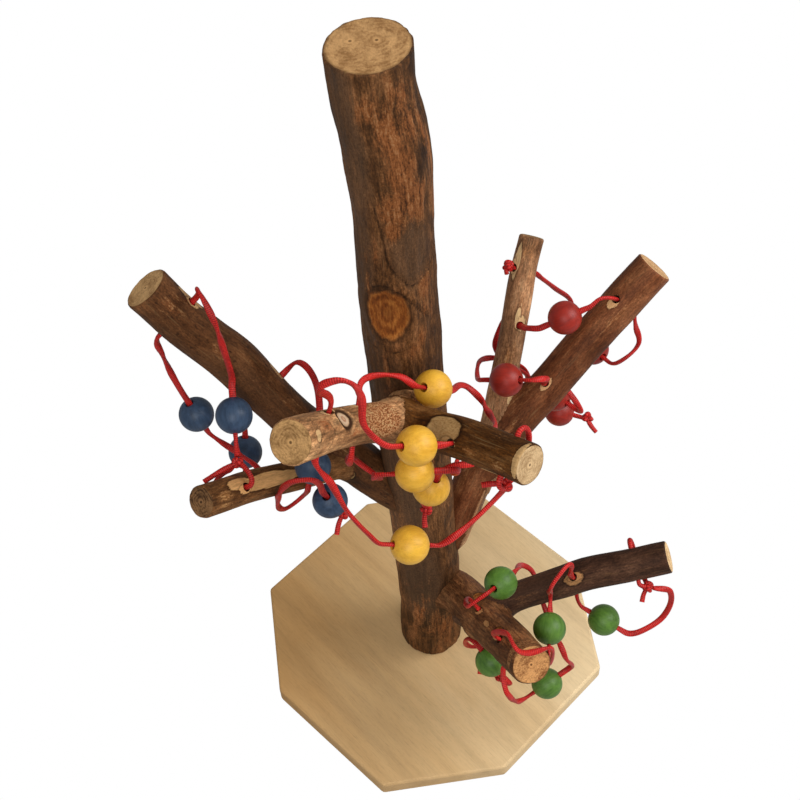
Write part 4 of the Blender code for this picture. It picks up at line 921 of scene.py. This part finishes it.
def paint_log(data, logs, names, holes=()):
    """Write the coordinates and the masks that the bark and sawn-wood materials read."""
    points = vertex_places(data)
    count = len(points)
    sets = np.array([log.coordinates(points) for log in logs])
    which = sets[:, :, 3].argmin(0)
    stick, masks, zones = (np.zeros((count, 3)) for _ in range(3))
    knots = np.full((count, 3), FAR_SCAR)
    crease = np.full(count, FAR_FOLD)
    rim = np.zeros(count)
    for index, (log, name) in enumerate(zip(logs, names)):
        mine = np.flatnonzero(which == index)
        along, x, y, _ = sets[index, mine].T
        stick[mine] = np.c_[x, y, along + index * GRAIN_SHIFT]
        length = log.s[-1]
        share, angle = along / length, np.arctan2(y, x)
        radius = np.interp(along, log.s, log.r)
        worn = np.zeros(len(mine))
        for s0, a0, ds, da, weight in WORN[name]:
            turn = np.degrees(np.abs(wrap(angle - math.radians(a0))))
            spot = weight * np.exp(-((share - s0) / ds) ** 2 - (turn / da) ** 2)
            worn = np.maximum(worn, spot)
        masks[mine, 0] = worn
        for column, patches in enumerate((STRIPPED, FLECKED, SMOOTH)):
            zones[mine, column] = patch_value(share, angle, patches.get(name, ()))
        for scar in SCARS[name]:
            e = scar_distance(scar, length, along, angle, radius)
            column = ("ringed", "eye", "cut").index(scar[-1])
            knots[mine, column] = np.minimum(knots[mine, column], e)
        crease[mine] = crease_distance(name, length, along, angle, radius) * 1000
        rim[mine] = np.clip((np.hypot(x, y) / radius - 0.84) / 0.14, 0, 1)
    # A ragged chip beside each drilled hole
    for number, (centre, through, along) in enumerate(holes):
        offset = points - centre
        across = unit(np.cross(along, through))
        turn = number * 2.4 + 0.6
        e = np.hypot((offset @ along - CHIP_SHIFT[0] * math.cos(turn)) / CHIP_HALVES[0],
                     (offset @ across - CHIP_SHIFT[1] * math.sin(turn)) / CHIP_HALVES[1])
        close = np.linalg.norm(offset, axis=1) < CHIP_REACH
        masks[:, 1] = np.maximum(masks[:, 1], np.clip(1.5 - e, 0, 1) * close)
    # Broad shade: darker in a crotch, drifting over the tree, paler on the trunk's left
    crotch = 0.0
    if len(logs) > 1:
        crotch = np.exp(-np.abs(sets[0, :, 3] - sets[1, :, 3]) / CROTCH_REACH)
    drift = np.array([noise.noise(Vector(p) * DRIFT_SCALE) for p in points])
    pale_side = np.zeros(count)
    if names[0] == "trunk":
        around = np.arctan2(stick[:, 1], stick[:, 0])
        pale_side = PALE_SHADE * np.clip(np.cos(around + math.radians(PALE_ANGLE)), 0, 1)
    shade = 0.5 - CROTCH_SHADE * crotch + DRIFT_SHADE * drift + pale_side
    masks[:, 2] = np.clip(shade, 0, 1)
    for name, values in (("stick", stick), ("masks", masks), ("zones", zones),
                         ("knots", np.minimum(knots, FAR_SCAR))):
        set_attribute(data, name, "FLOAT_VECTOR", values)
    set_attribute(data, "crease", "FLOAT", np.minimum(crease, FAR_FOLD))
    set_attribute(data, "rim", "FLOAT", rim)


def mark_faces(data, logs, planes, holes=()):
    """Two materials for each log: its bark, then its sawn ends and drilled walls."""
    centres = np.array([face.center for face in data.polygons])
    normals = np.array([face.normal for face in data.polygons])
    which = np.array([log.coordinates(centres)[:, 3] for log in logs]).argmin(0)
    sawn = np.zeros(len(centres), bool)
    for point, out, reach in planes:
        offset = centres - point
        near = (np.abs(offset @ out) < SAWN_PLAY) & (np.abs(normals @ out) > 0.8)
        sawn |= near & (np.linalg.norm(offset, axis=1) < reach)
    for middle, through, _ in holes:
        offset = centres - middle
        aside = offset - np.outer(offset @ through, through)
        length = np.linalg.norm(aside, axis=1)
        wall = np.abs(length - HOLE_DIAMETER / 2) < WALL_PLAY
        sawn |= wall & ((normals * aside).sum(1) < -0.6 * length)
    data.polygons.foreach_set("material_index", (which * 2 + sawn).astype(np.int32))


def ease_wood(data, beads):
    """Press the bark back where a bead at either end of its slide would touch it."""
    points = vertex_places(data)
    room = BEAD_DIAMETER / 2 + BEAD_CLEARANCE
    for centre, ahead in beads:
        for end in (-BEAD_TRAVEL, BEAD_TRAVEL):
            away = points - (centre + ahead * end)
            distance = np.linalg.norm(away, axis=1)
            near = distance < room
            points[near] += away[near] * (room / distance[near] - 1)[:, None]
    data.vertices.foreach_set("co", points.ravel())


def cut_saddle(fork, trunk, height):
    """Shape the fork's heel to the trunk's bark, a hair's breadth off it."""
    shape = bmesh.new()
    shape.from_mesh(trunk.data)
    for off, up in zip(SADDLE_SPAN, (False, True)):
        cut = bmesh.ops.bisect_plane(
            shape, geom=shape.verts[:] + shape.edges[:] + shape.faces[:],
            plane_co=(0, 0, height + off), plane_no=(0, 0, 1), clear_outer=up, clear_inner=not up,
        )
        rim = [item for item in cut["geom_cut"] if isinstance(item, bmesh.types.BMEdge)]
        if rim:
            bmesh.ops.contextual_create(shape, geom=rim)
    bmesh.ops.recalc_face_normals(shape, faces=shape.faces)
    shape.normal_update()
    for vert in shape.verts:
        vert.co += Vector((vert.normal.x, vert.normal.y, 0.0)) * SADDLE_GAP
    shape.verts.index_update()
    corners = [tuple(vert.co) for vert in shape.verts]
    faces = [[vert.index for vert in face.verts] for face in shape.faces]
    shape.free()
    apply_boolean(fork, new_mesh("saddle", corners, faces, []), "DIFFERENCE")


def expand_route(foot, sticks, route):
    """Knots of a lace, each a place and its tangent, and its beads, each a place and axis."""
    kinds = [entry[0] if isinstance(entry[0], str) else "free" for entry in route]
    places = [
        sticks[kind].at(entry[1]) if kind in sticks else foot + np.array(entry[-3:]) / 1000
        for kind, entry in zip(kinds, route)
    ]
    knots, beads = [], []
    for i, (kind, entry) in enumerate(zip(kinds, route)):
        if kind == "free":
            knots.append([places[i], None])
            continue
        if kind == "bead":
            ahead = unit(places[i + 1] - places[i - 1])
            reach = BEAD_DIAMETER / 2 + BEAD_TRAVEL + BEAD_PLAY
            beads.append((places[i], ahead))
        else:
            ahead = direction(entry[2], entry[3])
            reach = sticks[kind].radius(entry[1]) + (HOLE_RUN_OUT if i else KNOT_RUN_OUT)
        knots += [[places[i] - ahead * reach, ahead], [places[i] + ahead * reach, ahead]]
    last = len(knots) - 1
    for i, knot in enumerate(knots):
        if knot[1] is None:
            knot[1] = unit(knots[min(i + 1, last)][0] - knots[max(i - 1, 0)][0])
    return knots, beads


def curve_points(knots, step, least):
    """Points along one smooth curve through knots that are each a place and a tangent."""
    points = []
    for (start, ahead), (end, beyond) in zip(knots, knots[1:]):
        chord = np.linalg.norm(end - start)
        count = max(least, round(chord / step))
        for t in (k / count for k in range(count)):
            points.append(start * (2 * t**3 - 3 * t**2 + 1) + ahead * chord * (t**3 - 2 * t**2 + t)
                          + end * (3 * t**2 - 2 * t**3) + beyond * chord * (t**3 - t**2))
    return points + [knots[-1][0]]


def strand_mesh(name, paths, section, material):
    """Soft cord along one or more paths. Its section is a half width, a half thickness, and
    how fast it turns as it runs."""
    wide, flat, twist = section
    wobble, rate = CORD_WOBBLE
    sides = SIDES["cord"]
    verts, faces, cords = [], [], []
    for points in map(np.array, paths):
        count = len(points)
        ahead = np.gradient(points, axis=0)
        ahead /= np.linalg.norm(ahead, axis=1)[:, None]
        along = np.r_[0, np.cumsum(np.linalg.norm(np.diff(points, axis=0), axis=1))]
        side = unit(np.cross(ahead[0], (0.21, 0.53, 0.82)))
        base = len(verts)
        for i in range(count):
            side = unit(side - ahead[i] * side.dot(ahead[i]))
            up = np.cross(ahead[i], side)
            turn = along[i] * twist + wobble * math.sin(along[i] * rate)
            c, s = math.cos(turn), math.sin(turn)
            for k in range(sides):
                a = math.tau * k / sides
                x, y = wide * math.cos(a), flat * math.sin(a)
                verts.append(points[i] + side * (x * c - y * s) + up * (x * s + y * c))
        for i in range(count - 1):
            faces.extend(quads(base + i * sides, base + (i + 1) * sides, sides))
            for k in range(sides):
                for share, row in ((k, i), (k + 1, i), (k + 1, i + 1), (k, i + 1)):
                    cords.append((share / sides, along[row], 0.0))
        for row, order in ((0, -1), (count - 1, 1)):
            faces.append(tuple(base + row * sides + k for k in range(sides))[::order])
            cords.extend([(k / sides, along[row], 0.0) for k in range(sides)])
    thing = new_mesh(name, verts, faces, [material])
    made = thing.data.attributes.new("cord", "FLOAT_VECTOR", "CORNER")
    made.data.foreach_set("vector", np.array(cords, dtype=np.float32).ravel())
    thing.data.set_sharp_from_angle(angle=CORD_SHARP)
    return thing


def wound_knot(centre, axis):
    """A tight overhand knot as one path round a centre."""
    axis = unit(axis)
    side = unit(np.cross(axis, (0.37, 0.61, 0.70)))
    up = np.cross(axis, side)
    points = []
    for k in range(KNOT_STEPS + 1):
        t = math.tau * k / KNOT_STEPS
        x = math.sin(t) + 2 * math.sin(2 * t)
        y = math.cos(t) - 2 * math.cos(2 * t)
        z = -math.sin(3 * t)
        points.append(centre + (side * x + up * y) * KNOT_WINDING / 3
                      + axis * z * KNOT_WINDING * 0.55)
    return points


def tail_path(centre, heading, rise, length):
    """The cut tail of a knot, bowed a little."""
    ahead = direction(heading, rise)
    run = ahead * (KNOT_DIAMETER / 2 + length)
    bow = unit(np.cross(ahead, (0, 0, 1))) * TAIL_BOW
    return [centre + run * t + bow * math.sin(t * math.pi) * (1 - t * 0.3)
            for t in np.linspace(0, 1, TAIL_STEPS + 1)]


def loop_path(prong, place, ball):
    """The lace tied round a prong: through a hole and over one flank. Also gives the hole."""
    share, hole_heading, hole_rise, flank_heading, flank_rise = place
    centre, along, radius = prong.at(share), prong.along(share), prong.radius(share)
    through = direction(hole_heading, hole_rise)
    through = unit(through - along * through.dot(along))
    flank = direction(flank_heading, flank_rise)
    flank = unit(flank - along * flank.dot(along) - through * flank.dot(through))
    out = radius + LOOP_RUN_OUT
    high = radius + LOOP_CLEARANCE + LACE_DIAMETER / 2
    knots = [(centre, through), (centre + through * out, through)]
    if (ball - centre).dot(flank) > LOOP_BEND * 1.5:
        knots.append((centre + through * (out + LOOP_BEND) + flank * LOOP_BEND, flank))
        knots.append((ball, unit(flank - through)))
    else:
        knots.append((ball, flank))
    knots += [
        (centre + flank * high, -through),
        (centre - through * (out + LOOP_BEND) + flank * LOOP_BEND, -flank),
        (centre - through * out, through), (centre, through),
    ]
    return curve_points(knots, SPACING["loop"], 2), (centre, through, along)


def bead_mesh(name, centre, axis, colour, seed):
    """A turned bead with a softly broken edge at each end of its bore."""
    outer, bore = BEAD_DIAMETER / 2, LACE_DIAMETER / 2 + BEAD_PLAY
    edge = math.asin((bore + MOUTH_EDGE) / outer)
    mouth = outer * math.cos(edge)
    profile = [(bore, mouth - MOUTH_DEPTH), (bore + MOUTH_EASE, mouth - MOUTH_ROUND)]
    for k in range(BEAD_STEPS + 1):
        angle = edge + (math.pi - 2 * edge) * k / BEAD_STEPS
        profile.append((outer * math.sin(angle), outer * math.cos(angle)))
    profile += [(bore + MOUTH_EASE, MOUTH_ROUND - mouth), (bore, MOUTH_DEPTH - mouth)]
    sides, rows = SIDES["bead"], len(profile)
    verts, faces = [], []
    for radius, height in profile:
        for k in range(sides):
            a = math.tau * k / sides
            verts.append((radius * math.cos(a), radius * math.sin(a), height))
    for i in range(rows):
        j = (i + 1) % rows
        for k in range(sides):
            n = (k + 1) % sides
            faces.append((i * sides + k, j * sides + k, j * sides + n, i * sides + n))
    thing = new_mesh(name, verts, faces, [colour])
    grain_start = np.array([math.sin(seed * step) for step in (12.9, 78.2, 37.7)]) * 0.3
    set_attribute(thing.data, "bead", "FLOAT_VECTOR", np.array(verts) + grain_start)
    turn = Vector(axis).to_track_quat("Z", "Y").to_matrix().to_4x4()
    thing.matrix_world = Matrix.Translation(Vector(centre)) @ turn
    thing.data.set_sharp_from_angle(angle=BEAD_SHARP)
    return thing


def make_trunk(materials):
    low = BOARD_THICKNESS + SEAT_GAP
    heights = np.linspace(low, low + TRUNK_LENGTH, TRUNK_ROWS)
    log = Log(*zip(*map(trunk_at, heights)))
    relief = relief_of("trunk", "trunk", TRUNK_LENGTH, TRUNK_SEED)
    thing = log_mesh("trunk_log", "trunk", log, relief, materials)
    paint_log(thing.data, [log], ["trunk"])
    mark_faces(thing.data, [log], [(log.c[k], log.t[k], TRUNK_REACH) for k in (0, -1)])
    thing.data.set_sharp_from_angle(angle=LOG_SHARP)
    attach(thing, "tree")
    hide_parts("trunk")
    return thing


def make_fork(colour, trunk, materials, lace, bead_colour):
    """One forked stick with its lace, its two knots and its beads."""
    height, limb_row, crotch, prong_row = FORKS[colour]
    foot, _ = trunk_at(height)
    limb = Stick(foot, *limb_row)
    prong = Stick(limb.at(crotch), *prong_row)
    sticks = {"limb": limb, "prong": prong}
    knots, beads = expand_route(foot, sticks, ROUTES[colour])
    path = np.array(curve_points(knots, SPACING["lace"], 1))
    stand_off = KNOT_DIAMETER / 2 + SEAT_GAP
    ball = path[0] - knots[0][1] * stand_off
    end_ball = path[-1] + knots[-1][1] * stand_off
    tie_paths = [tail_path(ball, *TIE_TAILS[colour]), wound_knot(ball, knots[0][1])]
    end_paths = [tail_path(end_ball, *END_TAILS[colour]), wound_knot(end_ball, knots[-1][1])]
    holes = []
    for entry in ROUTES[colour]:
        if entry[0] in sticks:
            log = sticks[entry[0]]
            holes.append((log.at(entry[1]), direction(*entry[2:]), log.along(entry[1])))
    if colour in TIE_LOOPS:
        loop, hole = loop_path(prong, TIE_LOOPS[colour], ball)
        tie_paths.append(loop)
        holes.append(hole)

    seed = FORK_SEEDS[colour]
    limb_relief = relief_of(colour + "_limb", "limb", limb.s[-1], seed)
    prong_relief = relief_of(colour + "_prong", "prong", prong.s[-1], seed + 5)
    fork = log_mesh(colour + "_forked_stick", "limb", limb, limb_relief, materials, (prong,))
    side = log_mesh(colour + "_side_prong", "prong", prong, prong_relief, materials, (limb,))
    apply_boolean(fork, side, "UNION")
    cut_saddle(fork, trunk, height)
    for centre, ahead, _ in holes:
        apply_boolean(fork, drill(centre, ahead, HOLE_DIAMETER / 2), "DIFFERENCE")
    ease_wood(fork.data, beads)
    paint_log(fork.data, [limb, prong], [colour + "_limb", colour + "_prong"], holes)
    ends = [(log.c[-1], log.t[-1], STICK_REACH) for log in (limb, prong)]
    mark_faces(fork.data, [limb, prong], ends, holes)
    fork.data.shade_smooth()
    fork.data.set_sharp_from_angle(angle=LOG_SHARP)
    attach(fork, "tree")
    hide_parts(colour + "_fork")

    tie = strand_mesh(colour + "_tie", tie_paths, KNOT_SECTION, lace)
    stop = strand_mesh(colour + "_stopper", end_paths, KNOT_SECTION, lace)
    for piece, name in ((tie, "_tie_knot"), (stop, "_end_knot")):
        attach(piece, "tree")
        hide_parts(colour + name)
    cord = strand_mesh(colour + "_satin_lace", [path], LACE_SECTION, lace)
    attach(cord, "tree")
    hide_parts(colour + "_lace")
    for number, (centre, ahead) in enumerate(beads, 1):
        name = f"{colour}_bead_{number}"
        thing = bead_mesh(name + "_turned", centre, ahead, bead_colour, seed + number)
        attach(thing, name)
        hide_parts(name)


def assign(node_name, material):
    for entry in bpy.data.objects[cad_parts[node_name].name].material_slots:
        entry.material = material


# Bark: dark, middle and light tone, worn, bare and even tone, then its specks, gloss and
# roughness. A sawn end: dark and light tone, contrast, grain, then pith and ring gap.
TRUNK_BARK = ((0.038, 0.016, 0.006), (0.088, 0.036, 0.012), (0.165, 0.071, 0.027),
              (0.205, 0.07, 0.021), (0.38, 0.185, 0.076), (0.08, 0.053, 0.034), 0.4, 0.6)
TRUNK_TOP = ((0.27, 0.135, 0.048), (0.47, 0.265, 0.108), 0.6, 0.2,
             ((-0.0063, 0.0041), (0.0037, 0.0022)), 0.0021)
LOOKS = {
    "blue_limb": (((0.05, 0.018, 0.006), (0.1, 0.038, 0.013), (0.17, 0.07, 0.026),
        (0.2, 0.068, 0.021), (0.56, 0.33, 0.145), (0.078, 0.036, 0.017), 0.8, 0.55, 0.5),
        ((0.34, 0.18, 0.07), (0.62, 0.37, 0.16), 0.6)),
    "blue_prong": (((0.068, 0.025, 0.007), (0.175, 0.072, 0.023), (0.31, 0.145, 0.053),
        (0.28, 0.12, 0.038), (0.64, 0.35, 0.135), (0.12, 0.05, 0.02), 0.3, 0.58, 0.9),
        ((0.062, 0.028, 0.011), (0.25, 0.125, 0.05), 0.9)),
    "red_limb": (((0.082, 0.023, 0.008), (0.15, 0.048, 0.0175), (0.24, 0.092, 0.037),
        (0.26, 0.092, 0.032), (0.58, 0.34, 0.155), (0.12, 0.04, 0.015), 0.3, 0.52, 0.45),
        ((0.42, 0.225, 0.092), (0.62, 0.375, 0.185), 0.6)),
    "red_prong": (((0.15, 0.062, 0.026), (0.38, 0.18, 0.082), (0.6, 0.34, 0.175),
        (0.4, 0.17, 0.062), (0.7, 0.46, 0.225), (0.24, 0.1, 0.04), 0.3, 0.55, 0.7),
        ((0.18, 0.09, 0.036), (0.34, 0.195, 0.084), 0.6)),
    "green_limb": (((0.05, 0.019, 0.007), (0.13, 0.05, 0.018), (0.265, 0.12, 0.048),
        (0.28, 0.105, 0.037), (0.5, 0.25, 0.095), (0.1, 0.04, 0.015), 0.4, 0.58, 0.85),
        ((0.2, 0.07, 0.02), (0.56, 0.275, 0.1), 0.25, 0.75)),
    "green_prong": (((0.028, 0.012, 0.007), (0.07, 0.031, 0.017), (0.128, 0.062, 0.034),
        (0.14, 0.058, 0.024), (0.42, 0.215, 0.085), (0.062, 0.033, 0.021), 0.3, 0.6, 0.6),
        ((0.5, 0.28, 0.118), (0.84, 0.59, 0.31), 0.7)),
    "yellow_limb": (((0.15, 0.062, 0.024), (0.355, 0.172, 0.072), (0.58, 0.325, 0.148),
        (0.36, 0.122, 0.042), (0.6, 0.37, 0.17), (0.3, 0.15, 0.06), 0.35, 0.66, 0.9),
        ((0.25, 0.13, 0.046), (0.52, 0.295, 0.116), 0.7)),
    "yellow_prong": (((0.034, 0.011, 0.002), (0.094, 0.033, 0.006), (0.195, 0.083, 0.024),
        (0.22, 0.085, 0.024), (0.46, 0.28, 0.12), (0.1, 0.035, 0.01), 0.35, 0.56, 0.8),
        ((0.35, 0.215, 0.1), (0.56, 0.38, 0.2), 0.7)),
}
# Stain of each colour's beads: dark and light
BEADS = {
    "blue": ((0.02, 0.039, 0.074), (0.044, 0.08, 0.146)),
    "yellow": ((0.62, 0.3, 0.02), (0.8, 0.44, 0.042)),
    "green": ((0.048, 0.122, 0.014), (0.104, 0.222, 0.03)),
    "red": ((0.215, 0.012, 0.006), (0.345, 0.021, 0.01)),
}

make_camera()
make_studio()
satin = lace_material()
trunk_look = [bark_material("trunk_bark", *TRUNK_BARK), end_material("trunk_top", *TRUNK_TOP)]
trunk_log = make_trunk(trunk_look)
for key in FORKS:
    looks = []
    for part in ("_limb", "_prong"):
        bark, end = LOOKS[key + part]
        looks.append(bark_material(key + part + "_bark", *bark))
        looks.append(end_material(key + part + "_end", *end))
    make_fork(key, trunk_log, looks, satin, bead_material(key + "_stain", *BEADS[key]))
assign("base_board", board_material())
dowel = plain_material("dowel_wood", (0.60, 0.42, 0.22), 0.6, 0.0, 240.0)
for key in FORKS:
    assign(key + "_peg", dowel)
zinc = plain_material("zinc_steel", (0.60, 0.60, 0.58), 0.35, 1.0, 600.0)
for number in (1, 2):
    assign(f"base_screw_{number}", zinc)
